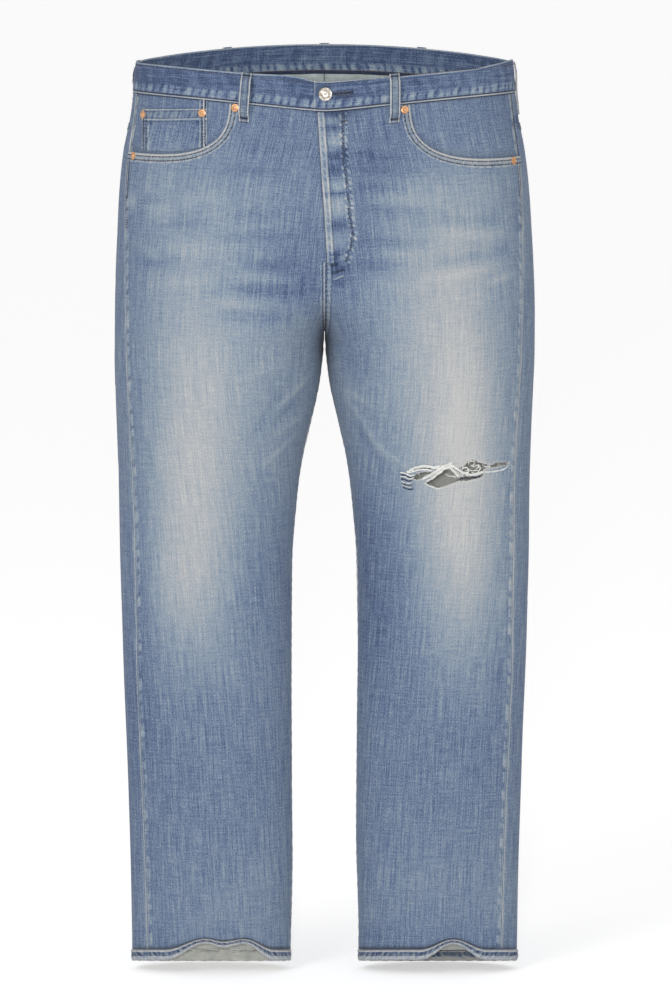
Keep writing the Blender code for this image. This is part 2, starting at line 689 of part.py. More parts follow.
# ---------------------------------------------------------------- button and rivets
def seat(x, level, lift):
    """Point and outward normal on the front, at a signed place along X."""
    side = 1 if x >= 0 else -1
    share = float(share_at(np.array(level), abs(x)))
    low = skin(side, level, share, 0.0)
    high = skin(side, level, share, 1.0)
    normal = high - low
    return low + normal * lift, normal


def build_stud(name, place, radius, depth, lift, finish):
    """A round domed head: a turned profile stood on the cloth."""
    x, level = place
    base, normal = seat(x, level, lift)
    profile = (
        (0.0, 0.0),
        (radius, 0.0),
        (radius * STUD_CROWN[0], depth * STUD_CROWN[1]),
        (0.0, depth),
    )
    maker = bmesh.new()
    points = [maker.verts.new((r, 0, h)) for r, h in profile]
    edges = [maker.edges.new(pair) for pair in zip(points, points[1:])]
    bmesh.ops.spin(
        maker,
        geom=points + edges,
        cent=(0, 0, 0),
        axis=(0, 0, 1),
        angle=2 * math.pi,
        steps=STUD_SIDES,
        use_merge=True,
    )
    bmesh.ops.remove_doubles(maker, verts=maker.verts[:], dist=1e-6)
    stud = finish_object(name, maker, finish)
    along = np.cross((0.0, 0.0, 1.0), normal)
    along /= np.linalg.norm(along)
    across = np.cross(normal, along)
    for vertex in stud.data.vertices:
        co = vertex.co
        vertex.co = base + along * co.x + across * co.y + normal * co.z
    return stud


def build_metalwork():
    """The waist button and the rivets at the pocket corners."""
    on_band = BAND_PROUD + BAND_STEP + SEAM_GAP
    build_stud("button", (BUTTON_X, BUTTON_LEVEL), BUTTON_RADIUS, BUTTON_DEPTH, on_band, "nickel")
    for name, place in RIVETS.items():
        build_stud(name, place, RIVET_RADIUS, RIVET_DEPTH, SEAM_GAP, "copper")


def main():
    clear_scene()
    for name in FINISHES:
        make_material(name)
    build_legs()
    build_waistband()
    for name, (side, x, face) in LOOPS.items():
        build_loop(name, side, x, face)
    for side, hand in ((1, "left"), (-1, "right")):
        build_hem(f"hem_{hand}", side)
        build_pocket_facing(f"pocket_facing_{hand}", side)
        build_back_pocket(f"back_pocket_{hand}", side)
    build_coin_pocket()
    build_fly_facing()
    build_metalwork()


main()
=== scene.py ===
"""Looks of a pair of worn, ripped straight-leg jeans that stand open and filled out with no wearer.

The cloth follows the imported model's form: level sections, each half of which runs from the side extreme round
the front to the centre or inseam, and round the back to the same. Places on the cloth are flat ones: a run in
metres from the side extreme (plus in front, minus behind) and a level, as the cloth would lie when cut. The
script is in metres, with +Z up; the front faces -Y and +X is the wearer's left.
"""

import logging
import math
from dataclasses import dataclass, replace
from enum import Enum
from typing import Sequence

import bmesh
import bpy
import numpy as np
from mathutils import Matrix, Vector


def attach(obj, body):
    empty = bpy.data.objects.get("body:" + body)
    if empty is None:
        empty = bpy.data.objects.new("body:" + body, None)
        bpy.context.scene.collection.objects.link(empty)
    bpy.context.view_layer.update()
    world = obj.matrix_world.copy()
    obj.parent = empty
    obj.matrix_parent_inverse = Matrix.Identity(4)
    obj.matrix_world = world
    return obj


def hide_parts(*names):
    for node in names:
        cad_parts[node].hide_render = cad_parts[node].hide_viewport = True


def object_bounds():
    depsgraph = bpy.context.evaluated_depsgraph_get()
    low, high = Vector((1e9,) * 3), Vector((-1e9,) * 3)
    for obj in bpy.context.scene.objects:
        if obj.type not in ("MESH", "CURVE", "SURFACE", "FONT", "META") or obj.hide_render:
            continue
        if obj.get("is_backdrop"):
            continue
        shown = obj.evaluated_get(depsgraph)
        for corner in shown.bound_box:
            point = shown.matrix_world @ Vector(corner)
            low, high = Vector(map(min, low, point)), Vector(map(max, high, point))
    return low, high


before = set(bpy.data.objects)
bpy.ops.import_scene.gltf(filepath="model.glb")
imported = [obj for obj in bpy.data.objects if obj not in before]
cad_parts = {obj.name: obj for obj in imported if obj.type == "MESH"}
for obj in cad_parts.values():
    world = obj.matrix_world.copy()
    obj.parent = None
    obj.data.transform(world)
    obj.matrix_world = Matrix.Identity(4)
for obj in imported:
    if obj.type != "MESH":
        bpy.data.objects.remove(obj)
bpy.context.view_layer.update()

LOG = logging.getLogger("jeans")
Array = np.ndarray
Socket, Node = bpy.types.NodeSocket, bpy.types.Node
Object, Mesh, Material = bpy.types.Object, bpy.types.Mesh, bpy.types.Material

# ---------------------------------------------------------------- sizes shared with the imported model
SEAM_GAP, LAYER_GAP, DENIM = 0.0003, 0.0008, 0.0012
BAND_TOP, BAND_BOTTOM, BAND_PROUD, BAND_WALL = 0.019, -0.019, 0.0007, 0.0026
CROTCH_LEVEL, CROTCH_Y, INSEAM_STRAIGHT = -0.342, 0.010, -0.62
HEM_LEVEL, HEM_HEIGHT, HEM_PROUD, HEM_WALL = -1.1555, 0.013, 0.0009, 0.0030
FORM_TOP, FORM_BOTTOM = 0.030, -1.170
SHARE_STEP, LEVEL_STEP, METRE_PLACES = 0.004, 0.0003, 7
SECTIONS = (
    # level, outer, inner, deepest, front, back
    (0.030, 0.2415, -2.000, 0.0000, 0.1180, 0.1180),
    (0.019, 0.2425, -2.000, 0.0000, 0.1185, 0.1185),
    (-0.019, 0.2462, -2.000, 0.0000, 0.1200, 0.1210),
    (-0.057, 0.2512, -2.000, 0.0050, 0.1220, 0.1260),
    (-0.096, 0.2590, -1.400, 0.0120, 0.1235, 0.1320),
    (-0.155, 0.2655, -0.700, 0.0220, 0.1250, 0.1400),
    (-0.200, 0.2683, -0.360, 0.0330, 0.1252, 0.1440),
    (-0.233, 0.2700, -0.200, 0.0450, 0.1250, 0.1450),
    (-0.265, 0.2712, -0.105, 0.0630, 0.1235, 0.1445),
    (-0.290, 0.2718, -0.052, 0.0790, 0.1215, 0.1430),
    (-0.312, 0.2720, -0.0185, 0.0930, 0.1190, 0.1405),
    (-0.330, 0.2720, -0.0045, 0.1050, 0.1168, 0.1370),
    (-0.342, 0.2720, 0.0002, 0.1120, 0.1152, 0.1342),
    (-0.360, 0.2720, 0.0022, 0.1195, 0.1128, 0.1290),
    (-0.397, 0.2710, 0.0070, 0.1310, 0.1080, 0.1180),
    (-0.450, 0.2690, 0.0190, 0.1420, 0.1000, 0.1060),
    (-0.500, 0.2675, 0.0300, 0.1480, 0.0920, 0.0960),
    (-0.554, 0.2665, 0.0370, 0.1510, 0.0840, 0.0870),
    (-0.632, 0.2655, 0.0430, 0.1535, 0.0760, 0.0780),
    (-0.737, 0.2625, 0.0440, 0.1530, 0.0680, 0.0700),
    (-0.868, 0.2580, 0.0430, 0.1505, 0.0600, 0.0620),
    (-0.999, 0.2545, 0.0425, 0.1485, 0.0540, 0.0570),
    (-1.130, 0.2520, 0.0450, 0.1485, 0.0480, 0.0520),
    (-1.170, 0.2515, 0.0450, 0.1480, 0.0470, 0.0510),
)
SIDE_SEAM = (
    # level, inset
    (0.030, 0.0035),
    (-0.040, 0.0045),
    (-0.100, 0.0078),
    (-0.150, 0.0098),
    (-0.200, 0.0120),
    (-0.280, 0.0148),
    (-0.390, 0.0172),
    (-0.500, 0.0190),
    (-0.650, 0.0202),
    (-0.780, 0.0174),
    (-0.930, 0.0185),
    (-1.170, 0.0200),
)
FRONT_DIP, FRONT_DIP_POWER, DIP_ROUNDING = 0.0183, 1.35, 0.06
BACK_RISE, WAIST_FADE = 0.0171, (-0.33, -0.019)
HEM_TILT, HEM_TILT_REACH = 0.19, 0.16
HEM_ARCHES = (
    # side, place along X, half width, rise
    (-1, -0.155, 0.052, 0.0215),
    (-1, -0.104, 0.038, 0.021),
    (1, 0.168, 0.043, 0.0205),
)
HEM_ARCH_REACH, HEM_ARCH_POWER = 0.045, 1.3
FLY_TOP_X, FLY_END_X, FLY_END, FLY_FADE = -0.0092, 0.0035, -0.222, -0.262
FLY_WIDTH, FLY_UNDERLAP, FLY_FACING_END = 0.036, 0.01, -0.205
POCKET_LEVEL, POCKET_MOUTH_POWER = -0.06, 2.8
POCKET_MOUTH_X = {-1: 0.1225, 1: 0.111}
POCKET_MOUTH_DEPTH = {-1: 0.076, 1: 0.0815}
FACING_TUCK, FACING_LEAST = 0.014, 0.045
COIN_POCKET, COIN_CLEAR = (0.15, 0.235, -0.03, -0.0388), 0.004
YOKE_SIDE, YOKE_CENTRE = -0.062, -0.1
BACK_POCKET = (0.045, 0.2, -0.112, 0.178, 0.022, 0.12)
LOOP_WIDTH, LOOP_WALL, LOOP_CLEAR, LOOP_TOP, LOOP_BOTTOM = 0.013, 0.002, 0.0068, 0.02, -0.043
SIDE_LOOP_WALL = 0.0014
# Side loops: how far each lies in front of the side extreme, and its levels and lifts off the form
SIDE_LOOP_SHIFTS = {-1: -0.019, 1: 0.0015}
SIDE_LOOP_PROFILES = {
    -1: (
        (0.019, 0.001), (0.013, 0.001), (0.008, 0.0034), (0.0, 0.004), (-0.008, 0.0036), (-0.0165, 0.0012),
        (-0.03, 0.0006), (-0.043, 0.0003),
    ),
    1: (
        (0.019, 0.001), (0.013, 0.0024), (0.007, 0.003), (-0.002, 0.0027), (-0.012, 0.0018), (-0.02, 0.0011),
        (-0.035, 0.0007), (-0.049, 0.0003),
    ),
}
LOOP_LEANS = {"belt_loop_front_right": 0.0036}
LOOPS = {
    # node: side, distance from the centre line, face
    "belt_loop_front_right": (-1, 0.102, 1),
    "belt_loop_front_left": (1, 0.089, 1),
    "belt_loop_side_right": (-1, None, 0),
    "belt_loop_side_left": (1, None, 0),
    "belt_loop_back_right": (-1, 0.126, -1),
    "belt_loop_back_left": (1, 0.126, -1),
    "belt_loop_back_centre": (1, 0.0, -1),
}
BAND_OVERLAP, BAND_STEP = 0.013, 0.0032
BAND_UNDER_END, BAND_STEP_START, BAND_STEP_RUN = 0.042, 0.08, 0.036
BUTTON_X, BUTTON_LEVEL, BUTTON_RADIUS, BUTTON_DEPTH = 0.0015, 0.0018, 0.0088, 0.0042
RIVET_RADIUS, RIVET_DEPTH = 0.0047, 0.0017
RIVETS = {
    "rivet_pocket_right_inner": (-0.1135, -0.026),
    "rivet_pocket_right_outer": (-0.245, -0.0998),
    "rivet_coin_outer": (-0.2325, -0.0463),
    "rivet_coin_inner": (-0.156, -0.0368),
    "rivet_pocket_left_inner": (0.1025, -0.0272),
    "rivet_pocket_left_outer": (0.243, -0.1056),
}
SIDES = ((1, "left"), (-1, "right"))


def ease(value: Array, low: float, high: float) -> Array:
    """A soft step: 0 at low and 1 at high."""
    t = np.clip((value - low) / (high - low), 0, 1)
    return t * t * (3 - 2 * t)


def bell(value: Array, power: float = 2.0) -> Array:
    """A soft hump: 1 at 0, about a third at 1."""
    return np.exp(-np.abs(value) ** power)


def wander(place: Array, pitch: float, seed: float) -> Array:
    """A smooth, uneven wave between about -1 and 1 along a place, never repeating within a garment."""
    t = place / pitch * 2 * math.pi + seed
    return 0.5 * np.sin(t) + 0.3 * np.sin(1.618 * t + 1.3 * seed) + 0.2 * np.sin(2.93 * t + 2.1 * seed)


def metres(sizes: Sequence[float]) -> Array:
    """Sizes in mm as metres, the same numbers as if they were written so."""
    return np.round(np.asarray(sizes, float) / 1000, METRE_PLACES)


def flat(run: Array, level: Array) -> Array:
    """Flat places, with their run and level along the last axis."""
    return np.stack(np.broadcast_arrays(run, level), -1)


# ---------------------------------------------------------------- the form
class Curve:
    """A smooth curve through a table's points that never overshoots them."""

    def __init__(self, places: Sequence[float], values: Sequence[float]) -> None:
        """Sorts the points and works out the slope at each."""
        order = np.argsort(places)
        self.places = np.asarray(places, float)[order]
        self.values = np.asarray(values, float)[order]
        steps = np.diff(self.values) / np.diff(self.places)
        before, after = steps[:-1], steps[1:]
        total = np.where(before + after == 0, 1, before + after)
        inner = np.where(before * after > 0, 2 * before * after / total, 0)
        self.slopes = np.concatenate([steps[:1], inner, steps[-1:]])

    def __call__(self, place: Array) -> Array:
        """The curve's value at a place, level past its ends."""
        place = np.clip(place, self.places[0], self.places[-1])
        i = np.clip(np.searchsorted(self.places, place, side="right") - 1, 0, len(self.places) - 2)
        width = self.places[i + 1] - self.places[i]
        s = (place - self.places[i]) / width
        value = (1 + 2 * s) * (1 - s) ** 2 * self.values[i] + s**2 * (3 - 2 * s) * self.values[i + 1]
        slope = s * (1 - s) ** 2 * self.slopes[i] + s**2 * (s - 1) * self.slopes[i + 1]
        return value + slope * width


class Form:
    """The surface that the cloth lies on, by level, share of a half section, and side."""

    def __init__(self) -> None:
        """Makes the tables' curves, and the arc lengths in front (1) and behind (-1)."""
        levels, *columns = zip(*SECTIONS)
        self.outer, self.inner, self.deepest, self.front, self.back = (Curve(levels, c) for c in columns)
        self.inset = Curve(*zip(*SIDE_SEAM))
        self.levels = np.linspace(FORM_BOTTOM, FORM_TOP, 241)
        self.steps = np.linspace(0, 1, 81)
        self.arcs = {face: self._measure(face) for face in (1, -1)}

    def limits(self, level: Array) -> tuple[Array, Array, Array]:
        """A half section's outer extreme, inner extreme and deepest place along X."""
        return self.outer(level), self.inner(level), np.maximum(self.deepest(level), SEAM_GAP / 2)

    def inner_turn(self, level: Array) -> Array:
        """The part of a quarter turn that the inner side runs through before the centre line."""
        _, inner, deepest = self.limits(level)
        reach = (deepest - np.maximum(inner, SEAM_GAP / 2)) / (deepest - inner)
        return np.arcsin(np.clip(reach, 0, 1))

    def section(self, level: Array, turn: Array) -> tuple[Array, Array]:
        """X and Y of the half section at a turn: 0 at the side, 1 deepest in front, 2 at the inner edge."""
        outer, inner, deepest = self.limits(level)
        depth = np.where(turn >= 0, -self.front(level), self.back(level))
        middle = CROTCH_Y * ease(level, INSEAM_STRAIGHT, CROTCH_LEVEL)
        size = np.abs(turn)
        first = np.clip(size, 0, 1) * math.pi / 2
        second = np.clip(size - 1, 0, 1) * self.inner_turn(level)
        wide = size <= 1
        x = deepest + np.where(wide, (outer - deepest) * np.cos(first), (inner - deepest) * np.sin(second))
        y = np.where(wide, depth * np.sin(first), middle + (depth - middle) * np.cos(second))
        return x, y

    def _measure(self, face: int) -> dict[str, object]:
        """Arc lengths of the two quarters of each section, with tables from share to turn and back."""
        shares, turns, lengths = [], [], []
        for quarter in (0, 1):
            x, y = self.section(self.levels[:, None], face * (quarter + self.steps[None]))
            steps = np.hypot(np.diff(x, axis=1), np.diff(y, axis=1)) + 1e-9
            length = np.concatenate([np.zeros((len(x), 1)), np.cumsum(steps, axis=1)], axis=1)
            share = length / length[:, -1:]
            shares.append(share)
            turns.append(np.stack([np.interp(self.steps, row, self.steps) for row in share]))
            lengths.append(length[:, -1])
        total = lengths[0] + lengths[1]
        return {"shares": shares, "turns": turns, "total": total, "first": lengths[0] / total}

    def _look_up(self, table: Array, level: Array, place: Array) -> Array:
        """Reads a table by level and by place, from 0 to 1."""
        row = (level - FORM_BOTTOM) / (FORM_TOP - FORM_BOTTOM) * (len(self.levels) - 1)
        column = np.clip(place, 0, 1) * (len(self.steps) - 1)
        r = np.clip(np.floor(row).astype(int), 0, len(self.levels) - 2)
        c = np.clip(np.floor(column).astype(int), 0, len(self.steps) - 2)
        down, along = np.clip(row - r, 0, 1), np.clip(column - c, 0, 1)
        near = table[r, c] * (1 - along) + table[r, c + 1] * along
        far = table[r + 1, c] * (1 - along) + table[r + 1, c + 1] * along
        return near * (1 - down) + far * down

    def reach(self, level: Array, face: int = 1) -> Array:
        """Length of the half section from its side extreme to its inner edge."""
        return np.interp(level, self.levels, self.arcs[face]["total"])

    def turn_at(self, face: int, level: Array, share: Array) -> Array:
        """The turn, from 0 to 2, at a share from 0 to 1."""
        arcs = self.arcs[face]
        first = np.interp(level, self.levels, arcs["first"])
        wide = self._look_up(arcs["turns"][0], level, share / first)
        near = 1 + self._look_up(arcs["turns"][1], level, (share - first) / np.maximum(1 - first, 1e-9))
        return np.where(share <= first, wide, near)

    def share_at(self, level: Array, x: Array, face: int = 1) -> Array:
        """The share, minus behind, at which the half section lies x from the centre line."""
        level, x = np.broadcast_arrays(np.asarray(level, float), np.asarray(x, float))
        outer, inner, deepest = self.limits(level)
        wide = np.arccos(np.clip((x - deepest) / (outer - deepest), -1, 1)) * 2 / math.pi
        past = np.arcsin(np.clip((deepest - x) / (deepest - inner), 0, 1))
        near = 1 + past / np.maximum(self.inner_turn(level), 1e-9)
        turn = np.where(x >= deepest, wide, np.minimum(near, 2))
        arcs = self.arcs[face]
        first = np.interp(level, self.levels, arcs["first"])
        at_side = first * self._look_up(arcs["shares"][0], level, turn)
        at_middle = first + (1 - first) * self._look_up(arcs["shares"][1], level, turn - 1)
        return face * np.where(turn <= 1, at_side, at_middle)

    def run_at(self, level: Array, x: Array, face: int = 1) -> Array:
        """The flat run, minus behind, of a place x from the centre line."""
        return self.share_at(level, x, face) * self.reach(level, face)

    def flat_at(self, share: Array, level: Array, face: int = 1) -> Array:
        """Flat places at shares of one face."""
        return flat(share * self.reach(level, face), level)

    def flat_from(self, x: Array, level: Array, face: int = 1) -> Array:
        """Flat places, their runs minus behind, at distances x from the centre line."""
        return flat(self.run_at(level, x, face), level)

    def side_seam(self, level: Array) -> Array:
        """The side seam's share."""
        return self.share_at(level, self.outer(level) - self.inset(level))

    def column_at(self, level: float, x: Array) -> Array:
        """The part of a front leg's width, from its side seam, at which it lies x from the centre line."""
        seam = float(self.side_seam(np.array(level)))
        return (self.share_at(level, x) - seam) / (1 - seam)

    def fly_x(self, level: Array) -> Array:
        """The fly edge's place along X."""
        down = np.clip((BAND_BOTTOM - level) / (BAND_BOTTOM - FLY_END), 0, 1)
        return (FLY_TOP_X + (FLY_END_X - FLY_TOP_X) * down) * ease(level, FLY_FADE, FLY_END)

    def spot(self, side: Array, level: Array, share: Array) -> Array:
        """A point of the form. A front share over 1 carries on past the centre line."""
        over = share > 1
        share = np.where(over, 2 - share, share)
        side = np.where(over, -side, side)
        size = np.abs(share)
        turn = np.where(share >= 0, self.turn_at(1, level, size), -self.turn_at(-1, level, size))
        x, y = self.section(level, turn)
        across = np.clip(x / self.outer(level), 0, 1)
        full = math.hypot(1, DIP_ROUNDING) - DIP_ROUNDING
        rounded = (np.hypot(across, DIP_ROUNDING) - DIP_ROUNDING) / full
        dip = -FRONT_DIP * np.maximum(1 - rounded, 0) ** FRONT_DIP_POWER
        height = np.where(y < 0, dip, BACK_RISE * (1 - across**2)) * ease(level, *WAIST_FADE)
        height = height - HEM_TILT * y * (1 - ease(level, HEM_LEVEL, HEM_LEVEL + HEM_TILT_REACH))
        above = np.clip(1 - (level - HEM_LEVEL) / HEM_ARCH_REACH, 0, 1) ** HEM_ARCH_POWER
        for arch_side, middle, half, rise in HEM_ARCHES:
            away = np.clip(np.abs(x - abs(middle)) / half, 0, 1)
            lifted = rise * np.cos(away * math.pi / 2) ** 2 * above
            height = height + np.where((y < 0) & (side == arch_side), lifted, 0)
        return np.stack([side * x, y, level + height], -1)

    def skin(self, side: Array, level: Array, share: Array) -> tuple[Array, Array]:
        """Points of the form and their outward normals."""
        side, level, share = np.broadcast_arrays(side, level, share)
        side, level, share = side.astype(int), level.astype(float), share.astype(float)
        ahead = np.where(share > 1 - SHARE_STEP, share, share + SHARE_STEP)
        behind = np.where(share < -1 + SHARE_STEP, share, share - SHARE_STEP)
        across = self.spot(side, level, ahead) - self.spot(side, level, behind)
        upward = self.spot(side, level + LEVEL_STEP, share) - self.spot(side, level - LEVEL_STEP, share)
        normal = np.cross(across, upward) * np.where(side > 0, -1, 1)[..., None]
        normal /= np.linalg.norm(normal, axis=-1, keepdims=True)
        return self.spot(side, level, share), normal

    def mouth_x(self, side: int, turn: Array) -> Array:
        """Places along X of the pocket mouth's edge, from the side seam at 0 to its inner end at pi / 2."""
        outer = float(self.outer(POCKET_LEVEL) - self.inset(POCKET_LEVEL))
        return outer - (outer - POCKET_MOUTH_X[side]) * np.sin(turn) ** (2 / POCKET_MOUTH_POWER)

    def pocket_mouth(self, side: int, x: Array) -> Array:
        """Level of the pocket mouth's edge at a distance from the centre line."""
        outer = float(self.outer(POCKET_LEVEL) - self.inset(POCKET_LEVEL))
        across = np.clip((outer - x) / (outer - POCKET_MOUTH_X[side]), 0, 1)
        drop = (1 - across**POCKET_MOUTH_POWER) ** (1 / POCKET_MOUTH_POWER)
        return BAND_BOTTOM - SEAM_GAP - POCKET_MOUTH_DEPTH[side] * drop


FORM = Form()


# ---------------------------------------------------------------- folds and wear
@dataclass(frozen=True)
class Crease:
    """A soft fold between two places of one face, 1 in front and -1 behind."""

    face: int
    x: float
    level: float
    end_x: float
    end_level: float
    width: float
    rise: float
    bow: float
    wear: float

    def profile(self, face: Array, x: Array, level: Array) -> Array:
        """How strongly the fold shows at each place, from 0 to 1."""
        run_x, run_z = self.end_x - self.x, self.end_level - self.level
        length = math.hypot(run_x, run_z)
        dx, dz = x - self.x, level - self.level
        along = (dx * run_x + dz * run_z) / length**2
        off = (dz * run_x - dx * run_z) / length - self.bow * 4 * along * (1 - along)
        taper = np.sin(np.clip(along, 0, 1) * math.pi) ** 0.8
        return np.where(face == self.face, taper * bell(off / self.width), 0)


@dataclass(frozen=True)
class Fade:
    """A patch of one face that has worn paler, or kept darker where its strength is below 0. Among the shade
    marks it is painted shade instead.
    """

    face: int
    x: float
    level: float
    half: float
    up: float
    down: float
    strength: float
    power: float = 2.0

    def amount(self, face: Array, x: Array, level: Array) -> Array:
        """The change of wear, or of painted shade, at each place."""
        dz = level - self.level
        tall = bell(dz / np.where(dz > 0, self.up, self.down), self.power)
        return np.where(face == self.face, self.strength * bell((x - self.x) / self.half) * tall, 0)


def folds(face: int, *rows: tuple[float, ...]) -> tuple[Crease, ...]:
    """Folds of one face. Row: x and level of both ends, width, rise and bow, in mm, and change of wear."""
    return tuple(Crease(face, *metres(row[:-1]), row[-1]) for row in rows)


def fades(face: int, *rows: tuple[float, ...]) -> tuple[Fade, ...]:
    """Patches of one face. Row: x, level, half width, reach up and down, in mm, strength and any power."""
    return tuple(Fade(face, *metres(row[:5]), *row[5:]) for row in rows)


CREASES = folds(
    1,
    # whiskers at the wearer's right hip: troughs, then ridges
    (-107, -76, -40, -72, 6, -1.2, 0, -0.09),
    (-150, -112, -40, -106, 7, -1.8, 3, -0.13),
    (-246, -157, -180, -154, 5, -1.8, 2, -0.14),
    (-125, -163, -28, -158, 8, -1.8, -3, -0.11),
    (-228, -187, -140, -177, 6, -1.5, 0, -0.11),
    (-145, -200, -30, -192, 7, -2.1, 3, -0.14),
    (-112, -229, -26, -232, 8, -2.4, -2, -0.18),
    (-135, -266, -24, -270, 8, -2.7, 3, -0.22),
    (-245, -243, -180, -226, 6, -1.5, 0, -0.13),
    (-150, -299, -30, -305, 9, -1.8, 0, -0.13),
    (-236, -172, -118, -139, 9, 1.8, 4, 0.11),
    (-232, -214, -115, -207, 10, 1.9, -4, 0.13),
    (-125, -248, -38, -251, 8, 2.1, 0, 0.14),
    (-225, -264, -125, -254, 9, 1.5, 3, 0.11),
    (-155, -283, -45, -287, 8, 1.8, 0, 0.13),
    (-248, -205, -205, -232, 5, 1.5, 0, 0.14),
    # whiskers at the wearer's left hip
    (38, -79, 124, -92, 6, -1.4, -2, -0.13),
    (32, -99, 138, -111, 6, -1.6, 0, -0.14),
    (32, -125, 106, -132, 7, -1.5, 2, -0.14),
    (44, -152, 165, -165, 7, -1.8, -3, -0.13),
    (94, -178, 246, -183, 6, -1.8, 4, -0.13),
    (30, -196, 150, -207, 7, -1.8, 0, -0.13),
    (25, -226, 100, -233, 8, -1.8, -2, -0.13),
    (118, -230, 244, -218, 7, -1.8, -3, -0.11),
    (55, -141, 155, -148, 8, 1.6, 0, 0.11),
    (140, -196, 245, -203, 8, 1.8, 3, 0.13),
    (45, -214, 135, -222, 8, 1.8, 0, 0.11),
    (115, -252, 240, -236, 8, 1.8, -3, 0.14),
    (205, -262, 252, -248, 5, 1.5, 0, 0.18),
    (55, -256, 145, -264, 9, 1.5, 0, 0.09),
    # folds that fan from the crotch across the inner thighs
    (-12, -372, -75, -432, 3.5, 1.2, 4, 0.15),
    (-20, -425, -75, -462, 4, 1.3, 3, 0.17),
    (-30, -452, -88, -505, 3.5, 1.2, 0, 0.15),
    (-46, -392, -100, -470, 6, -1.2, 0, -0.08),
    (-24, -402, -70, -450, 5, -1.2, 0, -0.1),
    (-30, -350, -120, -385, 7, 1.2, 4, 0.06),
    (12, -398, 68, -424, 4, 1.2, 3, 0.15),
    (22, -402, 64, -462, 3.5, 1.3, 0, 0.15),
    (52, -446, 88, -496, 4.5, 1.4, -2, 0.16),
    (34, -436, 78, -508, 5, -1.2, 0, -0.1),
    (20, -355, 92, -392, 7, -1, 0, -0.06),
    (70, -470, 112, -505, 3, 1, 0, 0.14),
    # slack above the hems
    (-205, -1128, -150, -1092, 8, 1.6, 4, 0.05),
    (-135, -1100, -120, -1135, 6, -1.6, 0, -0.08),
    (52, -1128, 90, -1110, 7, -1.4, -6, -0.06),
    (118, -1122, 150, -1096, 8, 1.6, 0, 0.04),
) + folds(
    -1,
    # the seat, the backs of the knees and the slack at the heels
    (-20, -352, -190, -318, 9, -2.6, -12, -0.08),
    (18, -358, 205, -312, 8, -2.8, -14, -0.08),
    (-30, -392, -150, -372, 7, -2.2, -8, -0.06),
    (28, -398, 170, -385, 8, -2.2, -8, -0.07),
    (-16, -372, -175, -344, 8, 2.2, -10, 0.08),
    (20, -378, 180, -348, 8, 2.4, -11, 0.08),
    (-240, -560, -110, -590, 6, -2.6, 6, -0.1),
    (-225, -610, -70, -580, 6, -2.4, -5, -0.1),
    (-235, -582, -90, -606, 6, 2.4, 4, 0.12),
    (-215, -640, -80, -622, 6, 2, 0, 0.1),
    (232, -548, 90, -580, 6, -2.6, -6, -0.1),
    (240, -600, 85, -572, 5, -2.2, 4, -0.09),
    (236, -572, 78, -598, 6, 2.4, -4, 0.12),
    (220, -634, 75, -612, 7, 2, 0, 0.1),
    (-225, -930, -85, -955, 9, -2, 6, -0.06),
    (215, -952, 80, -925, 9, -2, -6, -0.06),
    (-190, -1160, -120, -1105, 3.5, 2.2, 10, 0.05),
    (-150, -1162, -95, -1118, 3, -2.2, 9, -0.08),
    (-95, -1120, -150, -1095, 4, 2, 0, 0.05),
    (120, -1150, 190, -1128, 5, 1.8, 6, 0.05),
    (-182, -1152, -146, -1124, 3.6, -3.4, 3, -0.08),
    (-152, -1126, -122, -1154, 3.4, 3, -3, 0.05),
    (-140, -1130, -104, -1150, 3.2, -2.6, -2, -0.05),
)
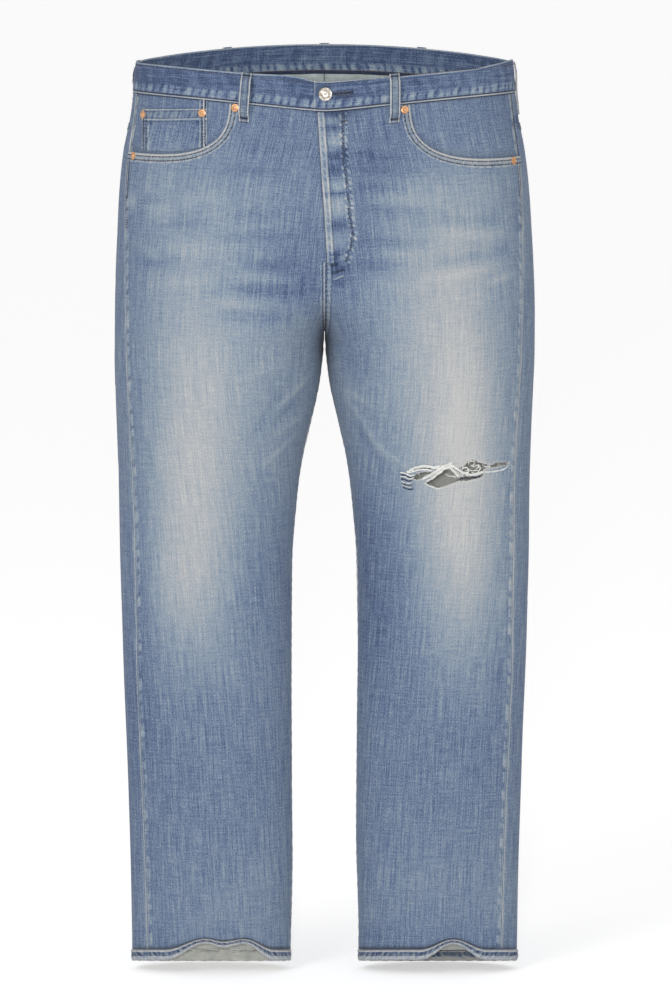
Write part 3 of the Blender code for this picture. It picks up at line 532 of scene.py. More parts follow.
FADES = fades(
    1,
    # thighs and knees
    (-175, -600, 65, 400, 170, 0.48, 3),
    (180, -580, 55, 320, 180, 0.52, 3),
    (-100, -410, 90, 170, 340, 0.22),
    (100, -320, 125, 100, 340, 0.34),
    # hips, below the pockets
    (-115, -135, 65, 55, 105, 0.12),
    (115, -150, 150, 55, 120, 0.32),
    (-208, -175, 25, 60, 25, 0.1),
    # darker inner legs, fly and crotch
    (60, -630, 53, 170, 150, -0.2),
    (-92, -650, 53, 200, 80, -0.12),
    (48, -180, 50, 75, 220, -0.25),
    (-23, -260, 52, 100, 40, -0.22),
    # above the hems, and the outer strip of the right knee
    (-100, -1090, 120, 140, 120, 0.13),
    (200, -1080, 180, 140, 40, 0.12),
    (-239, -740, 20, 300, 150, -0.14),
    # the waistband and the pocket facings
    (-190, 0, 60, 20, 20, -0.05),
    (140, 0, 70, 20, 20, 0.12),
    (-175, -55, 45, 30, 25, -0.07),
    (62, -85, 40, 40, 40, -0.08),
    (-218, -130, 30, 35, 40, 0.1),
    (175, -225, 50, 40, 40, 0.06),
    (30, -330, 35, 40, 40, -0.08),
    (-165, -720, 70, 80, 60, -0.06),
    (165, -710, 70, 80, 60, -0.06),
    # a worn spot beside the side seam, and a darker spot just under the end of a belt loop
    (-247.5, -157.5, 4, 10, 10, 0.4),
    (250, -54.5, 6, 6, 7, -0.4),
    # patches between the fly's edge and the placket's stitching
    (13, -24.5, 20, 4, 3, -0.32),
    (11, -32.5, 11, 3.5, 3.5, 0.3),
    (10, -42, 8, 3, 3, -0.36),
    (14, -58, 15, 11, 13, 0.34),
    (19, -79, 14, 5.5, 6, -0.38),
    (15, -99, 12, 9, 8, -0.22),
    (17, -119, 14, 8, 8, 0.24),
    (17, -130, 16, 2.4, 2.4, -0.34),
    (17, -150, 15, 16, 16, 0.28),
    (18, -175, 14, 4, 4, -0.24),
    (18, -196, 15, 12, 13, 0.24),
    (12.5, -214.5, 9, 2.4, 2.4, -0.5),
    (23, -212, 6, 2.6, 2.6, -0.3),
    (12.5, -221, 7, 4, 4, -0.34),
    (23.5, -220, 5, 4.5, 4.5, 0.28),
    (16.5, -235, 13, 7.5, 8, -0.3),
    (20, -255, 9, 5, 6, -0.3),
) + fades(
    -1,
    # the seat, the backs of the thighs and the heels
    (-125, -215, 100, 110, 130, 0.3),
    (125, -215, 100, 110, 130, 0.3),
    (-150, -450, 90, 200, 260, 0.14),
    (150, -450, 90, 200, 260, 0.14),
    (-150, -1100, 80, 60, 50, 0.1),
    (150, -1100, 80, 60, 50, 0.1),
)
BASE_WEAR = 0.28
# painted shade, in patches made like the fades
SHADES = fades(
    1,
    # painted shade in the crotch, and under the band at the placket's top
    (0, -325, 12, 30, 40, 0.45),
    (0, -345, 6, 30, 30, 0.6),
    (22, -26, 16, 6, 10, 0.3),
) + fades(
    -1,
    # painted shade in the crotch
    (0, -350, 40, 30, 40, 0.3),
) + fades(
    1,
    # a painted shadow along the line where the legs meet the hems
    (-150, -1143, 300, 4.5, 1.2, 0.42),
    (150, -1143, 300, 4.5, 1.2, 0.42),
)


@dataclass(frozen=True)
class Laid:
    """Cloth laid at flat places: its points, outward normals and where they are on the garment."""

    points: Array
    normals: Array
    x: Array
    level: Array
    face: Array


class Surface:
    """The form with its folds, on which every piece is laid by flat places."""

    DRAPE_DEPTH, DRAPE_PITCH, CREASE_WEAR = 0.0009, 0.23, 0.85

    def lay(self, side: Array, share: Array, level: Array, lift: Array = 0.0, folds: float = 1.0) -> Laid:
        """Lays cloth.

        Args:
            side: 1 on the wearer's left, -1 on the right.
            share: part of the half section from the side extreme, minus behind; past 1 it crosses the centre.
            level: the height that the place has on the flat cut.
            lift: distance off the form, before the folds.
            folds: how much of the folds this piece takes on.

        Returns:
            The laid cloth.
        """
        side, share, level, lift = np.broadcast_arrays(side, share, level, lift)
        past = share < -1
        side, share = np.where(past, -side, side), np.where(past, -2 - share, share)
        points, normals = FORM.skin(side, level, share)
        x, face = points[..., 0], np.where(share >= 0, 1, -1)
        rise = folds * self.relief(face, x, level) if folds else 0.0
        points = points + normals * (lift + rise)[..., None]
        return Laid(points, normals, x, level, face)

    def lay_flat(self, side: int, run: Array, level: Array, lift: Array = 0.0, folds: float = 1.0) -> Laid:
        """Lays cloth as lay does, by runs in metres from the side extreme."""
        run, level = np.broadcast_arrays(run, level)
        share = run / np.where(run >= 0, FORM.reach(level, 1), FORM.reach(level, -1))
        return self.lay(side, share, level, lift, folds)

    def relief(self, face: Array, x: Array, level: Array) -> Array:
        """Height of the folds."""
        soft = ease(level, BAND_BOTTOM, -0.075) * ease(level, HEM_LEVEL + HEM_HEIGHT, -1.09)
        rise = self.DRAPE_DEPTH * wander(x + 0.35 * level, self.DRAPE_PITCH, 1.7 + face) * soft
        for crease in CREASES:
            rise = rise + crease.rise * crease.profile(face, x, level)
        return rise

    def wear(self, laid: Laid) -> Array:
        """How far the dye has worn away, from 0 to 1."""
        wear = np.full(laid.x.shape, BASE_WEAR)
        for fade in FADES:
            wear = wear + fade.amount(laid.face, laid.x, laid.level)
        for crease in CREASES:
            wear = wear + self.CREASE_WEAR * crease.wear * crease.profile(laid.face, laid.x, laid.level)
        return wear

    def shade(self, laid: Laid) -> Array:
        """How far painted shade darkens the cloth, from 0 to 1."""
        return sum((fade.amount(laid.face, laid.x, laid.level) for fade in SHADES), np.zeros(laid.x.shape))


SURFACE = Surface()


# ---------------------------------------------------------------- mesh making
def link_object(name: str, data: bpy.types.ID) -> Object:
    """Puts data in the scene as an object."""
    obj = bpy.data.objects.new(name, data)
    bpy.context.scene.collection.objects.link(obj)
    return obj


def place_object(name: str, mesh: Mesh, materials: Sequence[Material]) -> Object:
    """Puts a mesh in the scene as a piece that rides with the jeans."""
    for material in materials:
        mesh.materials.append(material)
    mesh.shade_smooth()
    obj = link_object(name, mesh)
    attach(obj, "root")
    return obj


def made_mesh(name: str, maker: bmesh.types.BMesh) -> Mesh:
    """The mesh that a maker has built."""
    mesh = bpy.data.meshes.new(name)
    maker.to_mesh(mesh)
    maker.free()
    return mesh


def read_points(mesh: Mesh) -> Array:
    """A mesh's points."""
    numbers = np.empty(len(mesh.vertices) * 3)
    mesh.vertices.foreach_get("co", numbers)
    return numbers.reshape(-1, 3)


def grid_mesh(name: str, laid: Laid, weave: Array, marks: dict[str, Array]) -> Mesh:
    """A grid of cloth.

    Args:
        name: the mesh's name.
        laid: points in rows and columns.
        weave: the same places in metres on the cut, for the weave.
        marks: per-point values for the material, such as wear.

    Returns:
        The mesh, facing outwards.
    """
    rows, columns = laid.points.shape[:2]
    maker = bmesh.new()
    bmesh.ops.create_grid(maker, x_segments=columns - 1, y_segments=rows - 1, size=0.5)
    mesh = made_mesh(name, maker)
    even = read_points(mesh)
    row = np.rint((0.5 - even[:, 1]) * (rows - 1)).astype(int)
    column = np.rint((even[:, 0] + 0.5) * (columns - 1)).astype(int)
    mesh.vertices.foreach_set("co", laid.points[row, column].ravel())
    for mark, values in marks.items():
        layer = mesh.attributes.new(mark, "FLOAT", "POINT")
        layer.data.foreach_set("value", np.broadcast_to(values, (rows, columns))[row, column].astype(float))
    corner = np.empty(len(mesh.loops), int)
    mesh.loops.foreach_get("vertex_index", corner)
    uv = mesh.uv_layers.new(name="UVMap")
    uv.data.foreach_set("uv", weave[row, column][corner].ravel())
    mesh.update()
    middle = mesh.polygons[len(mesh.polygons) // 2]
    outward = laid.normals[row, column][middle.vertices[0]]
    if np.dot(np.array(middle.normal), outward) < 0:
        mesh.flip_normals()
    return mesh


def thicken(obj: Object, thickness: float, inside: int = 0) -> None:
    """Gives cloth its thickness inwards, with another of its materials on the inside where one is named."""
    wall = obj.modifiers.new("cloth", "SOLIDIFY")
    wall.thickness = thickness
    wall.offset = -1
    wall.material_offset = inside
    wall.material_offset_rim = inside


def lines_mesh(name: str, lines: Sequence[Array], radius: float, sides: int = 0) -> Mesh:
    """Thread or yarn along lines of points, each a row of (x, y, z) or (x, y, z, thickness)."""
    curve = bpy.data.curves.new(name, "CURVE")
    curve.dimensions = "3D"
    curve.bevel_depth = radius
    curve.bevel_resolution = sides
    curve.use_fill_caps = True
    for line in lines:
        spline = curve.splines.new("POLY")
        spline.points.add(len(line) - 1)
        rows = np.ones((len(line), 4))
        rows[:, :3] = line[:, :3]
        spline.points.foreach_set("co", rows.ravel())
        if line.shape[1] > 3:
            spline.points.foreach_set("radius", line[:, 3])
    holder = link_object(name, curve)
    graph = bpy.context.evaluated_depsgraph_get()
    mesh = bpy.data.meshes.new_from_object(holder.evaluated_get(graph))
    mesh.name = name
    bpy.data.objects.remove(holder)
    bpy.data.curves.remove(curve)
    mesh.materials.clear()
    return mesh


def spun_mesh(name: str, profile: Sequence[tuple[float, float]], sides: int) -> Mesh:
    """A turned shape about Z from a profile of (radius, height)."""
    maker = bmesh.new()
    points = [maker.verts.new((radius, 0, height)) for radius, height in profile]
    joins = [maker.edges.new(pair) for pair in zip(points, points[1:])]
    bmesh.ops.spin(
        maker,
        geom=points + joins,
        cent=(0, 0, 0),
        axis=(0, 0, 1),
        angle=2 * math.pi,
        steps=sides,
        use_merge=True,
    )
    bmesh.ops.remove_doubles(maker, verts=maker.verts[:], dist=1e-6)
    bmesh.ops.recalc_face_normals(maker, faces=maker.faces[:])
    return made_mesh(name, maker)


# ---------------------------------------------------------------- finishes
def display(red: float, green: float, blue: float) -> tuple[float, float, float, float]:
    """A colour as seen, each part 0 to 255, as the linear colour that a shader takes."""
    linear = [((part / 255 + 0.055) / 1.055) ** 2.4 for part in (red, green, blue)]
    return (*linear, 1.0)


class Wiring:
    """Adds nodes to one tree and joins them up."""

    def __init__(self, tree: bpy.types.NodeTree) -> None:
        """Takes the tree."""
        self.tree = tree

    def add(self, kind: str, settings: dict[str, object] | None = None, **inputs: object) -> Node:
        """Adds a node, sets its settings, and sets or joins its inputs, named with _ for a space."""
        node = self.tree.nodes.new(kind)
        for name, value in (settings or {}).items():
            setattr(node, name, value)
        for name, value in inputs.items():
            self.plug(value, node.inputs[name.replace("_", " ")])
        return node

    def plug(self, value: object, socket: Socket) -> None:
        """Joins a socket, or sets a value."""
        if isinstance(value, Socket):
            self.tree.links.new(value, socket)
        else:
            socket.default_value = value

    def sum(self, how: str, first: object, second: object = 0.0, clamp: bool = False) -> Socket:
        """One step of arithmetic."""
        node = self.add("ShaderNodeMath", {"operation": how, "use_clamp": clamp})
        self.plug(first, node.inputs[0])
        self.plug(second, node.inputs[1])
        return node.outputs[0]

    def mix(self, share: object, first: object, second: object, how: str = "MIX") -> Socket:
        """A blend of two colours."""
        node = self.add("ShaderNodeMix", {"data_type": "RGBA", "blend_type": how})
        for place, value in ((0, share), (6, first), (7, second)):
            self.plug(value, node.inputs[place])
        return node.outputs[2]

    def noise(self, place: Socket, stretch: tuple[float, float, float], detail: float = 2.0) -> Socket:
        """Noise about 0, stretched by the given repeats a metre."""
        scaled = self.add("ShaderNodeVectorMath", {"operation": "MULTIPLY"})
        self.plug(place, scaled.inputs[0])
        self.plug(stretch, scaled.inputs[1])
        node = self.add("ShaderNodeTexNoise", Vector=scaled.outputs[0], Scale=1.0, Detail=detail)
        return self.sum("SUBTRACT", node.outputs[0], 0.5)

    def lines(self, place: Socket, across: tuple[float, float, float]) -> Socket:
        """Even lines, from -1 to 1, whose phase runs with the place by the given radians a metre."""
        node = self.add("ShaderNodeVectorMath", {"operation": "DOT_PRODUCT"})
        self.plug(place, node.inputs[0])
        self.plug(across, node.inputs[1])
        return self.sum("SINE", node.outputs["Value"])

    def ramp(self, value: Socket, stops: Sequence[tuple[float, tuple[float, ...]]]) -> Socket:
        """Colours between stops of (value, colour)."""
        node = self.add("ShaderNodeValToRGB", Fac=value)
        bar = node.color_ramp.elements
        while len(bar) < len(stops):
            bar.new(0.5)
        for stop, (place, colour) in zip(bar, stops):
            stop.position, stop.color = place, colour
        return node.outputs[0]

    def mark(self, name: str) -> Socket:
        """A piece's own per-point value."""
        return self.add("ShaderNodeAttribute", {"attribute_name": name}).outputs["Fac"]

    def place(self, by_weave: bool) -> Socket:
        """The place on the cut, or in space."""
        if by_weave:
            return self.add("ShaderNodeUVMap", {"uv_map": "UVMap"}).outputs[0]
        return self.add("ShaderNodeTexCoord").outputs["Object"]

    def bump(self, shader: Node, height: Socket, distance: float, strength: float) -> None:
        """Roughens a shader's surface by a height."""
        node = self.add("ShaderNodeBump", Distance=distance, Strength=strength, Height=height)
        self.plug(node.outputs[0], shader.inputs["Normal"])


def new_group(name: str, inputs: dict[str, str], outputs: dict[str, str]) -> tuple[Wiring, dict, dict]:
    """A shader node group with named sockets: its wiring, its inputs' sockets and its outputs' sockets."""
    tree = bpy.data.node_groups.new(name, "ShaderNodeTree")
    for way, sockets in (("INPUT", inputs), ("OUTPUT", outputs)):
        for socket, kind in sockets.items():
            tree.interface.new_socket(socket, in_out=way, socket_type="NodeSocket" + kind)
    wiring = Wiring(tree)
    inlet, outlet = wiring.add("NodeGroupInput"), wiring.add("NodeGroupOutput")
    return wiring, inlet.outputs, outlet.inputs


class Effects:
    """The node groups that several finishes share."""

    TONES = (
        (0.0, display(60, 76, 108)),
        (0.12, display(84, 101, 134)),
        (0.3, display(104, 121, 149)),
        (0.55, display(137, 153, 169)),
        (0.78, display(167, 173, 180)),
        (1.0, display(197, 197, 195)),
    )
    YARNS = (
        # repeats a metre across and up, detail, strength
        ((760.0, 22.0, 1.0), 2.0, 0.95),
        ((270.0, 8.0, 1.0), 2.0, 0.42),
        ((30.0, 640.0, 1.0), 2.0, 0.5),
        ((560.0, 420.0, 1.0), 2.0, 0.95),
        ((150.0, 110.0, 1.0), 2.0, 0.28),
        ((9.0, 5.0, 1.0), 3.0, 0.14),
    )
    TWILL, TWILL_TONE = (5200.0, 3600.0, 0.0), 0.035

    def __init__(self) -> None:
        """Builds each group once."""
        self.denim = self._denim()
        self.fibres = self._fibres()

    def _denim(self) -> bpy.types.NodeTree:
        """Indigo cloth: the dye worn off the yarns' high places, slubs up and across, and the twill, darkened
        where the Shade input marks painted shade.
        """
        w, inlet, outlet = new_group(
            "worn denim",
            {"Place": "Vector", "Wear": "Float", "Shade": "Float", "Contrast": "Float"},
            {"Color": "Color", "Height": "Float"},
        )
        place, wear = inlet["Place"], inlet["Wear"]
        evenness = w.sum("MULTIPLY", wear, -0.55)
        strength = w.sum("MULTIPLY", w.sum("ADD", evenness, 1.0), inlet["Contrast"])
        total = 0.0
        for stretch, detail, share in self.YARNS:
            total = w.sum("ADD", w.sum("MULTIPLY", w.noise(place, stretch, detail), share), total)
        twill = w.sum("MULTIPLY", w.lines(place, self.TWILL), self.TWILL_TONE)
        weave = w.sum("ADD", total, twill)
        tone = w.sum("ADD", wear, w.sum("MULTIPLY", weave, strength), clamp=True)
        colour = w.ramp(tone, self.TONES)
        # the Shade mark mixes towards dark navy: painted shade, with some darker tone of the cloth
        shaded = w.mix(inlet["Shade"], colour, display(32, 39, 60))
        w.plug(shaded, outlet["Color"])
        w.plug(weave, outlet["Height"])
        return w.tree

    def _fibres(self) -> bpy.types.NodeTree:
        """Thread or yarn: two colours mixed along the fibres."""
        w, inlet, outlet = new_group(
            "fibres",
            {"Place": "Vector", "Light": "Color", "Dark": "Color", "Scale": "Float"},
            {"Color": "Color", "Height": "Float"},
        )
        scaled = w.add("ShaderNodeVectorMath", {"operation": "SCALE"}, Scale=inlet["Scale"])
        w.plug(inlet["Place"], scaled.inputs[0])
        place = scaled.outputs[0]
        coarse = w.noise(place, (0.08, 0.08, 0.08), 2.0)
        fine = w.noise(place, (1.0, 1.0, 1.0), 2.0)
        share = w.sum("ADD", w.sum("MULTIPLY", coarse, 1.8), w.sum("MULTIPLY", fine, 1.6))
        w.plug(w.mix(w.sum("ADD", share, 0.5, clamp=True), inlet["Dark"], inlet["Light"]), outlet["Color"])
        w.plug(fine, outlet["Height"])
        return w.tree


@dataclass(frozen=True)
class DenimFinish:
    """The dyed face of the cloth, by its wear marks and its shade marks, which are mostly painted shade."""

    name: str
    contrast: float = 1.0
    relief: float = 0.0005

    def make(self, effects: Effects) -> Material:
        """Builds the material."""
        w, shader = new_material(self.name, roughness=0.93, sheen=0.06)
        marks = {"Wear": w.mark("wear"), "Shade": w.mark("shade"), "Contrast": self.contrast}
        group = {"node_tree": effects.denim}
        cloth = w.add("ShaderNodeGroup", group, Place=w.place(by_weave=True), **marks).outputs
        w.plug(cloth["Color"], shader.inputs["Base Color"])
        w.bump(shader, cloth["Height"], self.relief, 0.6)
        return bpy.data.materials[self.name]


@dataclass(frozen=True)
class FibreFinish:
    """Thread, yarn or the undyed reverse of the cloth."""

    name: str
    light: tuple[float, ...]
    dark: tuple[float, ...]
    scale: float = 1500.0
    by_weave: bool = False

    def make(self, effects: Effects) -> Material:
        """Builds the material."""
        w, shader = new_material(self.name, roughness=0.95, sheen=0.05)
        colours = {"Light": display(*self.light), "Dark": display(*self.dark), "Scale": self.scale}
        group = {"node_tree": effects.fibres}
        fibres = w.add("ShaderNodeGroup", group, Place=w.place(self.by_weave), **colours).outputs
        w.plug(fibres["Color"], shader.inputs["Base Color"])
        w.bump(shader, fibres["Height"], 0.0003, 0.5)
        return bpy.data.materials[self.name]


@dataclass(frozen=True)
class MetalFinish:
    """Plated metal, tarnished where its noise says."""

    name: str
    bright: tuple[float, ...]
    dull: tuple[float, ...]
    scale: float = 260.0

    def make(self, effects: Effects) -> Material:
        """Builds the material."""
        w, shader = new_material(self.name, roughness=0.4, sheen=0.0)
        shader.inputs["Metallic"].default_value = 0.85
        place = w.place(by_weave=False)
        patches = w.noise(place, (self.scale, self.scale, self.scale), 3.0)
        share = w.sum("ADD", w.sum("MULTIPLY", patches, 2.4), 0.45, clamp=True)
        w.plug(w.mix(share, display(*self.dull), display(*self.bright)), shader.inputs["Base Color"])
        w.plug(w.sum("ADD", w.sum("MULTIPLY", share, -0.22), 0.52), shader.inputs["Roughness"])
        w.bump(shader, w.noise(place, (2400.0, 2400.0, 2400.0), 2.0), 0.0001, 0.3)
        return bpy.data.materials[self.name]


def new_material(name: str, roughness: float, sheen: float) -> tuple[Wiring, Node]:
    """A material's wiring and its Principled shader."""
    material = bpy.data.materials.new(name)
    material.use_nodes = True
    shader = material.node_tree.nodes["Principled BSDF"]
    shader.inputs["Roughness"].default_value = roughness
    shader.inputs["Sheen Weight"].default_value = sheen
    return Wiring(material.node_tree), shader


class Slot(Enum):
    """The record's material slots."""

    DENIM = "denim"
    DARK = "denim_dark"
    PALE = "denim_pale"
    NICKEL = "nickel"
    COPPER = "copper"


class Finishes:
    """Every material of the jeans, each made once."""

    def __init__(self) -> None:
        """Makes them."""
        effects = Effects()
        self.face = DenimFinish("worn indigo denim").make(effects)
        self.edge = DenimFinish("indigo denim at folded edges", contrast=1.25, relief=0.0007).make(effects)
        # the undyed reverse, lightened as painted light for the insides of the legs and the ripped knee, which
        # lie in shade
        self.reverse = FibreFinish(
            "undyed reverse of the denim", (246, 245, 236), (204, 208, 204), 900.0, by_weave=True
        ).make(effects)
        # the same reverse without that painted light, darker, for the yokes
        self.darker_reverse = FibreFinish(
            "darker reverse at the waist", (196, 205, 204), (150, 160, 160), 900.0, by_weave=True
        ).make(effects)
        self.thread = FibreFinish("brown sewing thread", (96, 84, 82), (50, 44, 52)).make(effects)
        self.navy = FibreFinish("dark blue sewing thread", (66, 70, 96), (34, 36, 58)).make(effects)
        self.plum = FibreFinish("faded plum thread", (112, 94, 112), (62, 54, 76)).make(effects)
        self.tan = FibreFinish("tan lining thread", (150, 124, 98), (104, 82, 66)).make(effects)
        self.yarn = FibreFinish("bare white weft yarn", (248, 248, 243), (214, 215, 212)).make(effects)
        self.nickel = MetalFinish("tarnished nickel", (214, 212, 206), (138, 126, 112)).make(effects)
        self.copper = MetalFinish("worn copper", (226, 182, 140), (172, 120, 84)).make(effects)
        # dark copper for the burrs' tarnish and for a painted shadow round the rivets' rims
        self.tarnish_and_rim_shadow = MetalFinish("tarnished copper and painted rim shadow", (112, 66, 40), (64, 40, 30)).make(effects)


# ---------------------------------------------------------------- sewing
@dataclass(frozen=True)
class Rope:
    """Slanting puckers along a seam, between two distances across it, with painted shade in their troughs where
    a shade is given. Cusped ones have narrow gaps.
    """

    pitch: float
    slant: float
    low: float
    high: float
    wear: float
    rise: float
    seed: float = 0.0
    cusped: bool = False
    shade: float = 0.0

    def pattern(self, along: Array, across: Array) -> Array:
        """The puckers' height, from -1 to 1, uneven along the seam."""
        phase = 2 * math.pi * (along + self.slant * across) / self.pitch
        phase = phase + 1.9 * wander(along, 4.3 * self.pitch, self.seed)
        wave = np.sin(phase)
        wave = np.sign(wave) * np.abs(wave) ** 0.7
        if self.cusped:
            wave = 1 - 2 * (1 - np.abs(np.sin(phase / 2))) ** 2
        size = 0.72 + 0.45 * wander(along, 2.7 * self.pitch, self.seed + 2)
        middle, half = (self.low + self.high) / 2, (self.high - self.low) / 2
        return wave * size * bell((across - middle) / half, 4.0)


@dataclass(frozen=True)
class Edge:
    """One line of a strip's profile: its distance across, height, and change of wear and of painted shade."""

    across: float
    height: float
    wear: float = 0.0
    shade: float = 0.0


def edges(*rows: tuple[float, ...]) -> tuple[Edge, ...]:
    """A profile. Row: distance across and height, in mm, and any change of wear and of painted shade."""
    return tuple(Edge(*metres(row[:2]), *row[2:]) for row in rows)


def mirrored(profile: Sequence[Edge]) -> tuple[Edge, ...]:
    """A profile laid to the other side of its path."""
    return tuple(replace(edge, across=-edge.across) for edge in profile)[::-1]


def pucker(
    ropes: Sequence[Rope], along: Array, across: Array, height: Array, wear: Array, shade: Array = 0.0
) -> tuple[Array, Array, Array]:
    """Height, wear and painted shade with the ropes' puckers added, the shade in their troughs."""
    for rope in ropes:
        pattern = rope.pattern(along, across)
        height, wear = height + rope.rise * pattern, wear + rope.wear * pattern
        shade = shade + rope.shade * np.clip(-pattern, 0, None)
    return height, wear, shade


def fill_profile(profile: Sequence[Edge], pitch: float) -> tuple[Array, Array, Array, Array]:
    """A profile's distances, heights, wear and painted shade, with lines added at a pitch."""
    table = np.array([[edge.across, edge.height, edge.wear, edge.shade] for edge in profile])
    rows = [table[:1]]
    for first, second in zip(table, table[1:]):
        count = max(1, math.ceil(abs(second[0] - first[0]) / pitch))
        rows.append(first + (second - first) * (np.arange(1, count + 1) / count)[:, None])
    return tuple(np.concatenate(rows).T)


def resample(path: Array, pitch: float) -> tuple[Array, Array]:
    """A path of flat places at an even pitch, and its unit normals to its left."""
    steps = np.hypot(*np.diff(path, axis=0).T)
    along = np.concatenate([[0], np.cumsum(steps)])
    places = np.linspace(0, along[-1], max(2, round(along[-1] / pitch) + 1))
    smooth = np.stack([np.interp(places, along, path[:, k]) for k in (0, 1)], 1)
    tangent = np.gradient(smooth, axis=0)
    tangent /= np.linalg.norm(tangent, axis=1, keepdims=True)
    return smooth, np.stack([-tangent[:, 1], tangent[:, 0]], 1)


class Sewing:
    """Makes the garment's pieces in its finishes."""

    STITCH_PITCH, STITCH_SHARE = 0.0031, 0.64

    def __init__(self, finishes: Finishes) -> None:
        """Starts with nothing made."""
        self.finishes = finishes
        self.count = 0
        self.chance = np.random.default_rng(40)

    def cloth(
        self,
        name: str,
        laid: Laid,
        weave: Array,
        wear: Array = 0.0,
        shade: Array = 0.0,
        thickness: float = DENIM,
        node: str | None = None,
        slot: Slot = Slot.DENIM,
        lined: bool = False,
        own: bool = False,
        edge: bool = False,
        reverse: Material | None = None,
    ) -> Object:
        """Makes one piece of cloth.

        Args:
            name: the piece's name.
            laid: its outer face.
            weave: run and level of each place on the cut.
            wear: added to the garment's wear, or the whole wear where it is the piece's own.
            shade: darkening from 0 to 1: painted shade for the most part, with some darker tone of the cloth.
            thickness: how thick the cloth is, inwards. 0 leaves a single face.
            node: the CAD node that it stands for, or none.
            slot: not used.
            lined: whether the inside shows the dyed face too.
            own: whether wear is the piece's own.
            edge: whether it is a folded edge, with a stronger grain.
            reverse: the inside's material, where it isn't the usual one.

        Returns:
            The piece.
        """
        self.count += 1
        shift = np.array([1.37, 0.73]) * self.count
        marks = {"wear": wear if own else SURFACE.wear(laid) + wear, "shade": SURFACE.shade(laid) + shade}
        name = name + "_cloth" if node else name
        mesh = grid_mesh(name, laid, weave + shift, marks)
        face = self.finishes.edge if edge else self.finishes.face
        piece = place_object(name, mesh, [face] if lined else [face, reverse or self.finishes.reverse])
        if thickness:
            thicken(piece, thickness, 0 if lined else 1)
        if node:
            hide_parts(node)
        LOG.info("%s: %d points", name, len(mesh.vertices))
        return piece

    def strip(
        self,
        name: str,
        side: int,
        path: Array,
        profile: Sequence[Edge],
        ropes: Sequence[Rope] = (),
        lift: float = 0.0,
        pitch: float = 0.0022,
        thickness: float = 0.0008,
        slot: Slot = Slot.DENIM,
        ends: float = 0.0,
    ) -> Object:
        """Makes a narrow folded or lapped strip along a path of flat places.

        Args:
            name: the piece's name.
            side: 1 on the wearer's left, -1 on the right.
            path: rows of (run, level).
            profile: its lines, from the path's right to its left.
            ropes: puckers along it.
            lift: distance off the form.
            pitch: spacing of its points along the path.
            thickness: of its cloth.
            slot: passed on to the cloth, which does not use it.
            ends: length over which it sinks into the cloth at both ends.

        Returns:
            The piece.
        """
        places, normals = resample(path, pitch)
        across, height, wear, shade = fill_profile(profile, 0.0011)
        run = places[:, 0] + across[:, None] * normals[:, 0]
        level = places[:, 1] + across[:, None] * normals[:, 1]
        along = np.arange(len(places)) * pitch * np.ones_like(run)
        height, wear, shade = (row[:, None] + 0 * run for row in (height, wear, shade))
        height, wear, shade = pucker(ropes, along, across[:, None], height, wear, shade)
        if ends:
            last = along.max()
            height = height - 0.0016 * (1 - ease(along, 0, ends) * ease(last - along, 0, ends))
        laid = SURFACE.lay_flat(side, run, level, lift + height)
        return self.cloth(
            name, laid, flat(run, level), wear, shade, thickness, slot=slot, lined=True, edge=True
        )

    def stitches(
        self,
        name: str,
        routes: Sequence[tuple[int, Array]],
        lift: float,
        radius: float = 0.00044,
        finish: Material | None = None,
        pitch: float | None = None,
        missing: float = 0.04,
    ) -> Object:
        """Makes rows of lockstitches as one piece.

        Args:
            name: the piece's name.
            routes: each row's side and path of (run, level).
            lift: distance of the cloth's face off the form.
            radius: of the thread.
            finish: the thread's material.
            pitch: length of a stitch with its gap.
            missing: the share of stitches that have worn through.

        Returns:
            The piece.
        """
        threads: list[Array] = []
        for side, path in routes:
            places, _ = resample(path, 0.002)
            laid = SURFACE.lay_flat(side, places[:, 0], places[:, 1], lift)
            threads += self.threads_on(laid.points, laid.normals, pitch or self.STITCH_PITCH, missing)
        return self.thread(name, threads, radius, finish)

    def thread(
        self,
        name: str,
        lines: Sequence[Array],
        radius: float,
        finish: Material | None = None,
        sides: int = 0,
    ) -> Object:
        """Makes thread or yarn along lines of points as one piece, in brown where no finish is named."""
        piece = place_object(name, lines_mesh(name, lines, radius, sides), [finish or self.finishes.thread])
        LOG.info("%s: %d lengths", name, len(lines))
        return piece

    def threads_on(self, points: Array, normals: Array, pitch: float, missing: float) -> list[Array]:
        """Lockstitches along a line of points, each bowed off the cloth."""
        steps = np.linalg.norm(np.diff(points, axis=0), axis=1)
        along = np.concatenate([[0], np.cumsum(steps)])
        count = max(1, int(along[-1] / pitch))
        starts = (np.arange(count) + 0.5 * (1 - self.STITCH_SHARE)) * along[-1] / count
        places = starts[:, None] + np.array([0, 0.5, 1]) * pitch * self.STITCH_SHARE
        at = [np.interp(places, along, points[:, k]) for k in range(3)]
        off = [np.interp(places, along, normals[:, k]) for k in range(3)]
        rise = np.array([0.0, 0.00032, 0.0])
        lines = np.stack([p + n * rise for p, n in zip(at, off)], -1)
        return list(lines[self.chance.random(count) > missing])


def beside(path: Array, distance: float) -> Array:
    """A path of flat places moved to its left."""
    places, normals = resample(path, 0.002)
    return places + normals * distance


